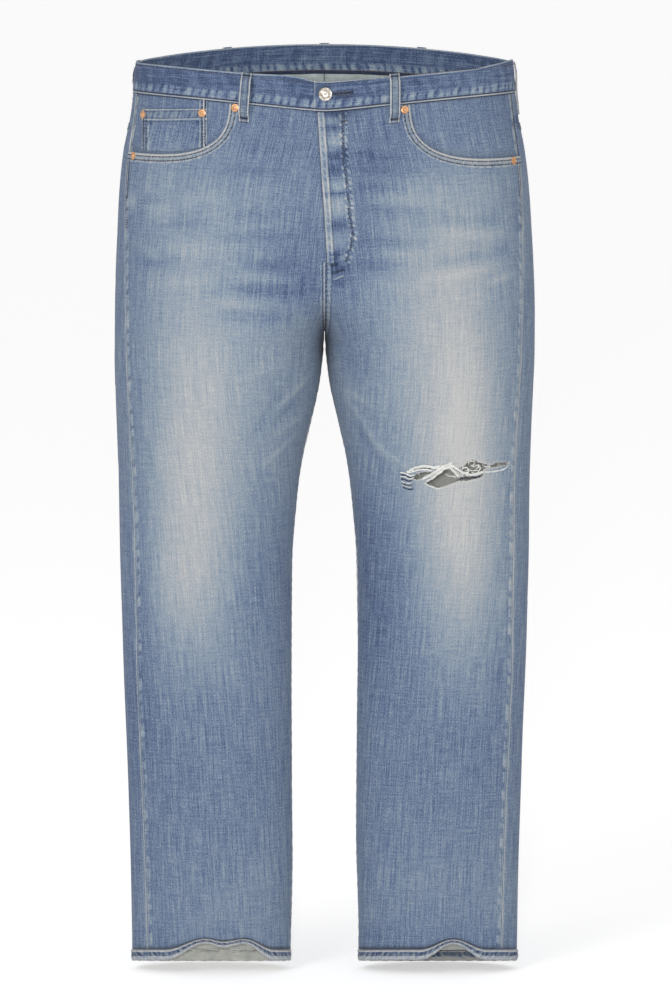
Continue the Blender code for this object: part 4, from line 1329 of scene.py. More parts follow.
# ---------------------------------------------------------------- legs and yokes
@dataclass
class Legs:
    """The four leg panels and the two halves of the yoke."""

    row: float = 0.0052
    column: float = 0.0042
    join: float = -0.3
    fine_levels: tuple[float, float, float] = (-0.534, -0.478, 0.0011)
    fine_places: tuple[float, float, float] = (0.094, 0.246, 0.0014)
    cut: tuple[float, float] = (0.56, 1.12)

    def mouth_columns(self, side: int) -> tuple[Array, Array]:
        """Places along X of a front leg's columns at pocket level, and their shares of its width."""
        x = FORM.mouth_x(side, np.linspace(0, math.pi / 2, 600))
        length = np.concatenate([[0], np.cumsum(np.hypot(np.diff(x), np.diff(FORM.pocket_mouth(side, x))))])
        beside_mouth = np.interp(np.linspace(0, length[-1], round(length[-1] / self.column)), length, x)
        inside = np.linspace(POCKET_MOUTH_X[side], 0, round(POCKET_MOUTH_X[side] / self.column))[1:]
        places = np.concatenate([beside_mouth, inside])
        return places, FORM.column_at(POCKET_LEVEL, places)

    def front_shares(self, side: int, level: Array, columns: Array) -> Array:
        """Shares of the columns from the side seam round the front to the fly's edge or the inseam."""
        gap = SEAM_GAP / 2 / FORM.reach(level)
        seam = FORM.side_seam(level) + gap
        lean = side * FORM.fly_x(level)
        leaning = FORM.share_at(level, np.maximum(-lean, 0))
        edge = np.where(lean >= 0, FORM.share_at(level, np.maximum(lean, 0)), 2 - leaning)
        edge = np.where(level < FLY_FADE, 1.0, edge) - gap
        return seam + columns * (edge - seam)

    def back_shares(self, level: Array, columns: Array) -> Array:
        """Shares of the columns from the side seam round the back to the centre or the inseam."""
        gap = SEAM_GAP / 2 / FORM.reach(level, -1)
        seam = FORM.side_seam(level) - gap
        return seam + columns * (-1 + gap - seam)

    def levels(self, top: Array, fine: bool = False) -> Array:
        """Rows of levels from each column's own top down to the hem."""
        bottom = HEM_LEVEL + HEM_HEIGHT + SEAM_GAP
        upper = np.linspace(0, 1, round((top.max() - self.join) / self.row))[:-1, None]
        first = top + (self.join - top) * upper
        if fine:
            high, low, step = self.fine_levels[1], self.fine_levels[0], self.fine_levels[2]
            stretches = ((self.join, high, self.row), (high, low, step), (low, bottom, self.row))
        else:
            stretches = ((self.join, bottom, self.row),)
        rows = [np.linspace(a, b, round((a - b) / step) + 1)[:-1] for a, b, step in stretches]
        lower = np.append(np.concatenate(rows), bottom)
        return np.concatenate([first, lower[:, None] * np.ones_like(top)])

    def front(self, sewing: Sewing, side: int, name: str) -> tuple[Object, float]:
        """A front leg, its pocket mouth cut out, and its flat area."""
        places, columns = self.mouth_columns(side)
        if side > 0:
            places, columns = self._with_fine_columns(columns)
        level = self.levels(FORM.pocket_mouth(side, places), fine=side > 0)
        share = self.front_shares(side, level, columns)
        laid = SURFACE.lay(side, share, level)
        weave = FORM.flat_at(share, level)
        return sewing.cloth(name, laid, weave, node=name), self.area(weave)

    def _with_fine_columns(self, columns: Array) -> tuple[Array, Array]:
        """Columns that are closer where the knee is ripped, and their places along X at pocket level."""
        fine = FORM.column_at(sum(self.fine_levels[:2]) / 2, np.arange(*self.fine_places))
        keep = (columns < fine.min() - 0.004) | (columns > fine.max() + 0.004)
        columns = np.sort(np.concatenate([columns[keep], fine]))
        pocket_seam = float(FORM.side_seam(np.array(POCKET_LEVEL)))
        share = pocket_seam + columns * (1 - pocket_seam)
        turn = FORM.turn_at(1, np.full(len(share), POCKET_LEVEL), share)
        return FORM.section(np.full(len(share), POCKET_LEVEL), turn)[0], columns

    def area(self, weave: Array) -> float:
        """The flat area of a grid of flat places, no more than its rectangle."""
        run, level = weave[..., 0], weave[..., 1]
        wide = np.abs(np.diff(run, axis=1))
        tall = np.abs(np.diff(level, axis=0))
        area = float(((wide[:-1] + wide[1:]) / 2 * (tall[:, :-1] + tall[:, 1:]) / 2).sum())
        return min(area, self.cut[0] * self.cut[1])

    def back_columns(self) -> Array:
        """A back leg's columns as shares of its width."""
        return np.linspace(0, 1, round(float(FORM.reach(-0.2, -1)) / self.column))

    def yoke_line(self, columns: Array) -> Array:
        """Level of the yoke seam: low at the centre back, higher at the side."""
        return YOKE_SIDE + (YOKE_CENTRE - YOKE_SIDE) * columns

    def back(self, sewing: Sewing, side: int, name: str) -> tuple[Object, float]:
        """A back leg, from the yoke seam to the hem, and its flat area."""
        columns = self.back_columns()
        level = self.levels(self.yoke_line(columns) - SEAM_GAP / 2)
        share = self.back_shares(level, columns)
        laid = SURFACE.lay(side, share, level)
        weave = FORM.flat_at(-share, level, -1)
        return sewing.cloth(name, laid, weave, node=name), self.area(weave)

    def hang(self, panel: tuple[Object, float], sewn: Sequence[Object]) -> None:
        """Takes a leg panel and the pieces that are sewn on it, and does nothing with them."""

    def yoke(self, sewing: Sewing, side: int, name: str) -> Object:
        """One half of the yoke, between the waistband and the back leg."""
        columns = self.back_columns()
        top = BAND_BOTTOM - SEAM_GAP
        bottom = self.yoke_line(columns) + SEAM_GAP / 2
        level = top + (bottom - top) * np.linspace(0, 1, 16)[:, None]
        share = self.back_shares(level, columns)
        laid = SURFACE.lay(side, share, level)
        weave = FORM.flat_at(-share, level, -1)
        piece = sewing.cloth(name, laid, weave, node=name, reverse=sewing.finishes.darker_reverse)
        min(self.area(weave), 0.04)
        return piece


# ---------------------------------------------------------------- the ripped knee
Places = tuple[tuple[float, float], ...]


@dataclass
class Rip:
    """The tear across the wearer's left knee: its openings and the bared weft yarns that bridge it.

    Its places (x, level) are in mm from its own origin.
    """

    origin: tuple[float, float] = (0.1, -0.5)
    openings: tuple[Places, ...] = (
        # corners of each opening
        (
            (15, -10), (20.5, -6.5), (28.6, -4.5), (35.4, -4.2), (40, -5.5),
            (33.2, -7.5), (26.3, -11.2), (20.6, -13.8), (16.5, -14),
        ),
        (
            (31, -17.3), (37.2, -14.5), (41.8, -10), (47.5, -4.8), (52.4, -0.4),
            (57.3, 1.8), (61.4, -0.6), (66, -4), (70.6, -9.2), (74.8, -14.2),
            (67.7, -17), (60.8, -19.6), (52.7, -22.5), (45.9, -24.5), (37.8, -21.2),
            (32.6, -19.5),
        ),
        (
            (73, 1.5), (80, 1.5), (84, 8), (88.3, 10.5), (93.5, 10.3),
            (98.5, 7), (105.7, 5.5), (112.5, 2.8), (106.9, -1), (103, -4.5),
            (96.5, -6.3), (88.4, -6.1), (81.4, -4), (76, -1),
        ),
        (
            (108.5, 3.4), (115, 2.6), (122, 5.9), (131.3, 5.2), (139.5, 4.7),
            (134.5, 2.8), (125.5, 1.6), (116.2, 1), (110.4, 0.5),
        ),
        (
            (70, -13.5), (79.2, -10.4), (88.4, -10.2), (98.8, -9.5), (104.5, -8),
            (103.4, -10.7), (93, -13.4), (81.5, -15.6), (73, -15.6),
        ),
    )
    bundles: tuple[tuple[int, float, Places], ...] = (
        # strands, their spread in mm, and the line that they follow
        (5, 0.7, ((-2.4, -5.3), (2.8, -5.7), (6.8, -7.3), (12.5, -9.5), (16, -7))),
        (4, 0.6, ((-1.8, -10.6), (4.5, -10.3), (8, -13.2), (12.5, -12.7), (16, -9.4))),
        (3, 0.5, ((-0.6, -16.4), (2.8, -18.7), (8, -19.4), (14.9, -17.1))),
        (2, 0.4, ((0, -21.1), (5.7, -23.3), (13.7, -24.2))),
        (
            14, 1.7,
            (
                (6.4, -6.7), (11.4, -1.3), (18.2, 2), (27.4, 4), (34.3, 3.8),
                (40, 2), (46.9, 3.4), (52.6, 5.7),
            ),
        ),
        (7, 1, ((10, -4.6), (19.4, -1.2), (27.4, 0.1), (34.3, -0.8), (40, -1.4))),
        (
            13, 1.5,
            (
                (24.6, -14.3), (33.2, -9.7), (40, -5.5), (45.8, -1.3), (51.5, 2.2),
                (57.2, 5.1), (63, 8), (65.8, 12),
            ),
        ),
        (
            10, 1.3,
            (
                (31, -16.2), (38.9, -11.4), (44.6, -6.6), (50.4, -2.5), (53.8, 1),
                (60.7, 3.3), (66.4, 4.4),
            ),
        ),
        (
            16, 1.6,
            (
                (49.5, 3.5), (58.4, 5.7), (65.3, 4.4), (69.9, 0.8), (75.7, -3.4),
                (81.4, -6.2), (88.4, -7.8), (95.3, -7.8), (99.9, -5.7), (106, -2.5),
            ),
        ),
        (10, 1.5, ((61, 4), (65, -1), (69, -6.2), (72.8, -10.5))),
        (
            3, 0.4,
            ((84.9, 4.2), (85, 8.1), (88.9, 10.5), (92.9, 8.5), (91.8, 5.2), (87.2, 4)),
        ),
        (3, 0.5, ((89, 2.8), (92.9, 3.8), (97.6, 5), (98.5, 1.5), (94.1, -0.4))),
        (3, 0.5, ((98.7, 4.7), (100.5, 0), (97.6, -4.6), (94.2, -6.2), (88.4, -4.9))),
        (5, 0.7, ((102.5, -4.5), (110.4, -5.2), (118.5, -5), (127.9, -4), (133.7, -2), (137.8, 2.7))),
        (3, 0.6, ((28, -18), (35, -22.2), (45, -26.2), (54, -25))),
        (4, 0.8, ((76, 0), (81.5, 2.5), (85, 0), (84.5, -4), (80, -5))),
        (3, 0.6, ((80, -3), (85, -1), (90, -3), (95, -2.2), (99, -3.5))),
        (3, 0.5, ((104, 4), (107.5, 1.5), (111, 2.5), (114, 0.5))),
        (2, 0.4, ((56, -6), (60, -9), (66, -9), (70, -12))),
    )
    blue_bundles: tuple[tuple[int, float, Places], ...] = (
        # unfaded warp yarns that lie between them, dark blue strands that also stand in for painted shade
        # between the white yarns
        (4, 0.5, ((-1.5, -8), (3.5, -8.2), (7.5, -10.4), (12, -11.2), (15, -8.5))),
        (4, 0.6, ((-1, -13.5), (4, -14.5), (8.5, -16.5), (13.5, -15))),
        (3, 0.5, ((-0.2, -19), (4.5, -21.2), (10, -22), (15, -20.5))),
        (3, 0.6, ((1, -24), (5.5, -26.2), (10.5, -27.2), (15, -26.2))),
        (3, 0.4, ((11, -4), (19, 0), (27, 1.6), (35, 1), (40, 0))),
        (3, 0.4, ((32, -18.5), (38, -14), (44, -9), (49, -4.6))),
        (3, 0.5, ((69, -15), (76, -12), (85, -11.6), (95, -11), (104, -9))),
        (2, 0.4, ((64, 2.5), (70, -1), (76, -5.2), (83, -8.5))),
    )
    yarn_radius: float = 0.0005
    frayed: float = 0.0022

    def build(self, sewing: Sewing, panel: Object) -> list[Object]:
        """Tears the panel and lays the yarns over it."""
        self.tear(panel.data)
        return [self.yarns(sewing), self.warp_and_painted_shade(sewing), self.ends(sewing)]

    def line(self, places: Places) -> Array:
        """The garment's own places (x, level), in metres."""
        return np.round(np.array(self.origin) + metres(places), METRE_PLACES)

    def outline(self, corners: Places) -> Array:
        """An opening's closed edge at a close pitch, ragged."""
        path = self.line([*corners, corners[0]])
        places, normals = resample(path, 0.0005)
        along = np.arange(len(places)) * 0.0005
        ragged = 0.00045 * wander(along, 0.0061, path[0, 0] * 900) + 0.00025 * wander(along, 0.0023, 1.0)
        return places + normals * ragged[:, None]

    def inside(self, x: Array, level: Array, edge: Array) -> Array:
        """Whether places lie within a closed edge."""
        count = np.zeros(x.shape, int)
        for (x1, z1), (x2, z2) in zip(edge, edge[1:]):
            crosses = (z1 > level) != (z2 > level)
            if crosses.any():
                count += crosses & (x < x1 + (level - z1) / (z2 - z1 + 1e-12) * (x2 - x1))
        return count % 2 == 1

    def tear(self, mesh: Mesh) -> None:
        """Cuts the openings out of the panel, pales the cloth beside them and smooths their edges."""
        x, y, z = read_points(mesh).T
        near = np.flatnonzero((x > 0.085) & (x < 0.25) & (z > -0.54) & (z < -0.475) & (y < 0))
        outlines = [self.outline(corners) for corners in self.openings]
        beside_tear = np.full(len(near), 1.0)
        for edge in outlines:
            for start in range(0, len(edge), 40):
                part = edge[start : start + 40]
                away = np.hypot(x[near, None] - part[:, 0], z[near, None] - part[:, 1]).min(axis=1)
                beside_tear = np.minimum(beside_tear, away)
        wear = np.empty(len(x))
        layer = mesh.attributes["wear"].data
        layer.foreach_get("value", wear)
        wear[near] += 0.2 * bell(beside_tear / self.frayed)
        layer.foreach_set("value", wear)
        maker = bmesh.new()
        maker.from_mesh(mesh)
        centres = np.array([face.calc_center_median() for face in maker.faces])
        torn = np.zeros(len(centres), bool)
        front = centres[:, 1] < 0
        for edge in outlines:
            torn |= front & self.inside(centres[:, 0], centres[:, 2], edge)
        faces = list(maker.faces)
        bmesh.ops.delete(maker, geom=[faces[i] for i in np.flatnonzero(torn)], context="FACES")
        rim = [
            vert
            for vert in maker.verts
            if vert.is_boundary and 0.09 < vert.co.x < 0.245 and -0.532 < vert.co.z < -0.482 and vert.co.y < 0
        ]
        for _ in range(3):
            bmesh.ops.smooth_vert(
                maker, verts=rim, factor=0.5, use_axis_x=True, use_axis_y=True, use_axis_z=True
            )
        maker.to_mesh(mesh)
        maker.free()

    def strands(self, count: int, spread: float, line: Array, chance: np.random.Generator) -> list[Array]:
        """Strands that follow a line, each wandering within the spread."""
        places, normals = resample(line, 0.0007)
        along = np.arange(len(places)) * 0.0007
        lines = []
        for _ in range(count):
            base, phase = chance.uniform(-0.8, 0.8), chance.uniform(0, 40)
            sway = 0.55 * wander(along, 0.0105, phase)
            off = spread * (base + sway + 0.2 * wander(along, 0.0036, phase + 2))
            lift = 0.0007 + 0.5 * spread * (1 + wander(along, 0.0085, phase + 5)) * (1 - 0.5 * abs(base))
            first, last = chance.uniform(0, 0.12), chance.uniform(0.88, 1.0)
            part = slice(int(first * len(along)), max(int(last * len(along)), int(first * len(along)) + 4))
            x, level = (places + normals * off[:, None])[part].T
            laid = SURFACE.lay_flat(1, FORM.run_at(level, x), level, lift[part])
            width = 0.75 + 0.45 * wander(along[part], 0.006, phase + 9) ** 2
            lines.append(np.concatenate([laid.points, width[:, None]], 1))
        return lines

    def yarns(self, sewing: Sewing) -> Object:
        """The bundles of weft yarn across the openings."""
        chance = np.random.default_rng(51)
        lines = []
        for count, spread, line in self.bundles:
            lines += self.strands(count, float(metres(spread)), self.line(line), chance)
        return sewing.thread("knee_yarns", lines, self.yarn_radius, sewing.finishes.yarn, sides=1)

    def warp_and_painted_shade(self, sewing: Sewing) -> Object:
        """The bundles of unfaded warp yarn, dark blue, which also stand in for painted shade between the white
        yarns.
        """
        chance = np.random.default_rng(53)
        lines = []
        for count, spread, line in self.blue_bundles:
            lines += self.strands(count, float(metres(spread)), self.line(line), chance)
        return sewing.thread("knee_warp_and_painted_shade", lines, 0.8 * self.yarn_radius, sewing.finishes.navy, sides=1)

    def ends(self, sewing: Sewing) -> Object:
        """Short broken ends along the openings' edges."""
        chance = np.random.default_rng(52)
        lines = []
        for corners in self.openings:
            edge = self.outline(corners)
            _, normals = resample(edge, 0.0005)
            for place in np.flatnonzero(chance.random(len(edge) - 1) < 0.2):
                reach = chance.uniform(-0.0018, 0.0022)
                inward = normals[min(place, len(normals) - 1)]
                start = edge[place] - inward * np.sign(reach) * 0.0005
                end = edge[place] + inward * reach + chance.normal(0, 0.0007, 2)
                path = np.stack([start, (start + end) / 2 + chance.normal(0, 0.0003, 2), end])
                laid = SURFACE.lay_flat(1, FORM.run_at(path[:, 1], path[:, 0]), path[:, 1], 0.0004)
                lines.append(laid.points)
        return sewing.thread("knee_yarn_ends", lines, 0.00026, sewing.finishes.yarn)


# ---------------------------------------------------------------- waistband and loops
@dataclass
class Waistband:
    """The waistband, lapped at the front, with its belt loops."""

    pitch: float = 0.0019
    # the shade of its lines is painted shade, darkest in the shadows along its lower edge
    profile: tuple[Edge, ...] = edges(
        (19, -1, 0.46), (18.4, -0.1, 0.46), (17.4, 0.1, 0.34), (16.5, -0.3, -0.14, 0.1), (15, 0, -0.1),
        (4, 0.3, -0.08), (-6, 0.3, -0.1), (-16.1, 0.2), (-16.6, -0.4, -0.15, 0.8), (-17.4, -0.4, -0.15, 0.8),
        (-17.9, 0.3, 0.2, 0.1), (-18.4, 0.6, 0.62), (-19.4, 0.6, 0.62), (-19.8, -0.1, 0, 0.85),
        (-20.8, -0.8, -0.1, 0.9),
    )
    ropes: tuple[Rope, ...] = (
        Rope(0.0118, 0.25, -0.016, -0.0052, 0.44, 0.0007, 0.6, cusped=True),
        Rope(0.023, -0.4, -0.004, 0.015, 0.09, 0.0003, 2.2),
        Rope(0.0085, 0.9, -0.016, -0.006, 0.08, 0.0002, 7.2),
    )
    top_line: tuple[tuple[float, float], ...] = (
        # signed place along X in front, and how far the worn top edge stands over or under its level
        (-0.25, 0.0), (-0.13, 0.0), (-0.091, 0.0008), (-0.049, 0.0034), (-0.028, 0.002),
        (-0.013, -0.0008), (0.02, -0.0012), (0.082, -0.0022), (0.1, -0.0032), (0.16, -0.0034),
        (0.195, -0.003), (0.23, 0.0016), (0.245, 0.0038),
    )
    shadows: tuple[tuple[float, float, float, float], ...] = (
        # painted shadows in front, beside the front right loop and round the button: place along X, level, half
        # width and half height
        (-0.0925, 0.002, 0.0022, 0.015),
        (-0.009, 0.006, 0.0035, 0.007),
        (0.0035, 0.0125, 0.008, 0.0028),
        (0.026, -0.001, 0.012, 0.006),
    )
    loop_profile: tuple[tuple[float, float], ...] = (
        (LOOP_TOP, BAND_PROUD + SEAM_GAP),
        (LOOP_TOP - 0.0045, BAND_PROUD + SEAM_GAP + 0.0008),
        (LOOP_TOP - 0.0105, LOOP_CLEAR),
        (0.0, LOOP_CLEAR + 0.0004),
        (-0.016, LOOP_CLEAR + 0.0004),
        (LOOP_BOTTOM + 0.0115, LOOP_CLEAR),
        (LOOP_BOTTOM + 0.0055, SEAM_GAP + 0.001),
        (LOOP_BOTTOM, SEAM_GAP),
    )

    def path(self) -> tuple[Array, Array, Array, Array]:
        """Sides, shares, extra lift and length along the band, from its covered end round to its top end."""
        half, back = float(FORM.reach(0.0)), float(FORM.reach(0.0, -1))
        legs = (
            (-1, 1 + BAND_UNDER_END / half, 0.0, half),
            (-1, 0.0, -1.0, back),
            (1, -1.0, 0.0, back),
            (1, 0.0, 1 + BAND_OVERLAP / half, half),
        )
        sides, shares = [], []
        for number, (side, start, end, length) in enumerate(legs):
            count = round(abs(end - start) * length / self.pitch) + 1
            share = np.linspace(start, end, count)[0 if number == 3 else None : None if number == 3 else -1]
            shares.append(share)
            sides.append(np.full(len(share), side))
        side, share = np.concatenate(sides), np.concatenate(shares)
        front_left = (side > 0) & (np.arange(len(share)) >= len(share) - len(shares[-1]))
        start, end = 1 - BAND_STEP_START / half, 1 - (BAND_STEP_START - BAND_STEP_RUN) / half
        step = np.where(front_left, BAND_STEP * ease(share, start, end), 0)
        return side, share, step, np.arange(len(share)) * self.pitch

    def build(self, sewing: Sewing) -> None:
        """Makes the band, its stitches and its loops."""
        side, share, step, along = self.path()
        level, height, wear, shade = (row[:, None] for row in fill_profile(self.profile, 0.0013))
        height, wear, _ = pucker(self.ropes, along, level, height, wear)
        ends = bell((along - along.max()) / 0.002) + bell(along / 0.002)
        wear = wear + 0.46 * ends - 0.08 + 0.05 * wander(along, 0.21, 3.0)
        level = level + 0.0 * along
        x = SURFACE.lay(side, share, np.zeros(share.shape)).x
        in_front = np.where((share > 0) & (share < 1.2), 1.0, 0.0)
        rise = in_front * np.interp(x, *np.array(self.top_line).T)
        # painted shadows on the band's front, beside a loop and round the button
        for place, height_at, half, tall in self.shadows:
            shade = shade + 0.42 * in_front * bell((x - place) / half) * bell((level - height_at) / tall, 4.0)
        level = level + rise * ease(level, -0.016, 0.019)
        lift = BAND_PROUD + step + height + 0.0003 * wander(along + 0.6 * level, 0.055, 1.0) * (1 - ends)
        laid = SURFACE.lay(side, share, level, lift, folds=0.0)
        weave = flat(level, along)
        band = sewing.cloth(
            "waistband", laid, weave, wear, shade, BAND_WALL - 0.0002, "waistband", Slot.DARK, lined=True
        )
        loops = [self.loop(sewing, name, *place) for name, place in LOOPS.items()]
        rows = [self.band_row(sewing, side, share, step, level_at) for level_at in (0.0158, -0.017)]
        inner = self.band_row(sewing, side, share, step - BAND_WALL, -0.015, inside=True)
        seams = sewing.thread("waistband_stitches", sum(rows, []), 0.00036)
        lining = sewing.thread("waistband_lining_stitches", inner, 0.0004, sewing.finishes.tan)

    def band_row(
        self, sewing: Sewing, side: Array, share: Array, step: Array, level: float, inside: bool = False
    ) -> list[Array]:
        """One row of stitches round the band."""
        laid = SURFACE.lay(side, share, np.full(share.shape, level), BAND_PROUD + step, folds=0.0)
        turn = -1 if inside else 1
        return sewing.threads_on(laid.points, turn * laid.normals, 0.0032, 0.05)

    def loop(self, sewing: Sewing, name: str, side: int, x: float | None, face: int) -> Object:
        """One belt loop: a strap tacked at both ends, standing clear of the band between them."""
        table = np.array(self.loop_profile if x is not None else SIDE_LOOP_PROFILES[side])
        lengths = np.concatenate([[0], np.cumsum(np.hypot(*np.diff(table, axis=0).T))])
        places = np.linspace(0, lengths[-1], 64)
        level, lift = (np.interp(places, lengths, table[:, k]) for k in (0, 1))
        kernel = np.array([1, 2, 3, 2, 1]) / 9
        lift = np.convolve(np.pad(lift, 2, mode="edge"), kernel, "valid")
        across = np.linspace(-0.5, 0.5, 15) * LOOP_WIDTH
        if x is None:
            middle = SIDE_LOOP_SHIFTS[side] / FORM.reach(level)
        elif x == 0.0:
            middle = np.full(len(level), -1.0)
        else:
            lean = LOOP_LEANS.get(name, 0.0) * ease(level, LOOP_BOTTOM, LOOP_TOP)
            middle = FORM.share_at(level, x - lean, face)
        share = middle[:, None] + across / FORM.reach(level, face if face else 1)[:, None]
        level, lift, places = (row[:, None] + 0 * share for row in (level, lift, places))
        edge = np.abs(across) / (LOOP_WIDTH / 2)
        wear = 0.14 + 0.56 * ease(edge, 0.7, 0.8) - 0.12 * bell((edge - 0.6) / 0.1)
        shade = 0.18 * (1 - ease(edge, 0.66, 0.74)) + 0.2 * bell((edge - 0.6) / 0.1)
        wall = LOOP_WALL if x is not None else SIDE_LOOP_WALL
        # painted shade on the wearer's right side loop, darkest along its outer edge
        if x is None and side < 0:
            shade = shade + 0.75 * ease(edge, 0.85, 0.98)
        rope = Rope(0.0062, 1.1, 0.0044, 0.0066, 0.14, 0.0003, x or 3.0)
        wear = wear + rope.wear * rope.pattern(places, np.abs(across) + 0 * places)
        wear = wear + 0.1 * wander(places, 0.019, side + (x or 0) * 40)
        end = places.max() - places
        wear = wear + 0.5 * bell((end - 0.0014) / 0.0008) - 0.2 * bell((end - 0.0046) / 0.0016)
        # a painted shadow along the loop's end, and darker cloth at its tack
        shade = shade + 0.85 * bell(end / 0.0006) + 0.22 * bell((end - 0.0046) / 0.0016) * (edge < 0.7)
        lift = lift + wall - 0.0004 * edge**6 + 0.0002 * wander(places + across, 0.012, 2.0)
        laid = SURFACE.lay(side, share, level, lift, folds=0.0)
        weave = flat(across, level)
        piece = sewing.cloth(name, laid, weave, wear, shade, wall, name, Slot.PALE, lined=True, edge=True)
        rows = []
        for column in (3, 11):
            rows += sewing.threads_on(laid.points[:, column], laid.normals[:, column], 0.003, 0.06)
        stitches = sewing.thread(name + "_stitches", rows, 0.00036)
        tacks = self.tacks(sewing, name, laid)
        return piece

    def tacks(self, sewing: Sewing, name: str, laid: Laid) -> Object:
        """The bar tacks across a loop's two ends, each a close zigzag of thread."""
        lines = []
        for row in (3, 50 if "side" in name else 58):
            across = np.linspace(1, 13, 25)
            up = row + 1.1 * np.where(np.arange(25) % 2 == 0, 1, -1)
            r, c = np.clip(np.round(up).astype(int), 0, 63), np.round(across).astype(int)
            lines.append(laid.points[r, c] + laid.normals[r, c] * 0.0003)
        return sewing.thread(name + "_tacks", lines, 0.00036)


# ---------------------------------------------------------------- hems
@dataclass
class Hems:
    """The two turned hems, one strip round each leg."""

    pitch: float = 0.0021
    # the shade of its lines is painted shade, darkest in a shadow along the hem's top edge
    profile: tuple[Edge, ...] = edges(
        (13, -0.6, 0.1, 0.4), (12.5, 0.6, 0.58), (9.8, 0.9, 0.58), (9, 0.1, -0.02, 0.3),
        (7.2, 0, -0.08, 0.34), (5.2, 0.2, 0.02, 0.14), (4, 0.5, 0.36), (0.6, 0.4, 0.5), (-1, -0.4, 0.5),
        (-1.8, -1.2, 0.5),
    )
    drop: float = 0.0018
    ropes: tuple[Rope, ...] = (
        Rope(0.0078, 0.5, 0.004, 0.0092, 0.4, 0.0006, 0.4),
        Rope(0.011, 1.3, 0.0, 0.0125, 0.18, 0.0005, 2.9),
    )

    def build(self, sewing: Sewing, legs: Legs, side: int, name: str) -> None:
        """Makes one hem, its stitches and its fringe."""
        half, back = float(FORM.reach(HEM_LEVEL)), float(FORM.reach(HEM_LEVEL, -1))
        front_columns = np.linspace(0, 1, round(half / self.pitch))
        back_columns = np.linspace(0, 1, round(back / self.pitch))
        above, height, wear, shade = (row[:, None] for row in fill_profile(self.profile, 0.0009))
        level = HEM_LEVEL + above
        behind = legs.back_shares(level, back_columns)[:, ::-1]
        share = np.concatenate([behind, legs.front_shares(side, level, front_columns[1:])], axis=1)
        along = np.arange(share.shape[1]) * self.pitch + side
        height, wear, _ = pucker(self.ropes, along, above, height, wear)
        level = level - 0.0005 * bell(above / 0.004) * wander(along, 0.016, side + 4.0)
        level, height = level + 0 * share, height + 0 * share
        laid = SURFACE.lay(side, share, level, HEM_PROUD + height)
        weave = flat(along, level)
        # the back of the left hem is paler as painted light, for its lined inside that shows in shade through
        # the arch; elsewhere a little wear
        wear = wear + np.where((share < 0) & (side > 0), 0.26, 0.04)
        hem = sewing.cloth(name, laid, weave, wear, shade, HEM_WALL - 0.0004, name, lined=side > 0, edge=True)
        middle = len(above) * 3 // 5
        rows = sewing.threads_on(laid.points[middle], laid.normals[middle], 0.0034, 0.12)
        stitches = sewing.thread(name + "_stitches", rows, 0.0004, sewing.finishes.plum)
        fringe = self.fringe(sewing, laid, name)

    def fringe(self, sewing: Sewing, laid: Laid, name: str) -> Object:
        """Short frayed ends of yarn along the hem's lower edge."""
        chance = np.random.default_rng(7 if "left" in name else 8)
        edge, off = laid.points[-1], laid.normals[-1]
        lines = []
        for place in np.flatnonzero(chance.random(len(edge)) < 0.22):
            start = edge[place] - off[place] * chance.uniform(0.0004, 0.0022)
            swing = chance.normal(0, 0.0011, 3)
            swing[2] = abs(swing[2])
            drop = np.array([0, 0, -chance.uniform(0.0003, 0.001)])
            lines.append(np.stack([start, start + drop * 0.5 + swing * 0.4, start + drop + swing]))
        return sewing.thread(name + "_fringe", lines, 0.00024, sewing.finishes.yarn)


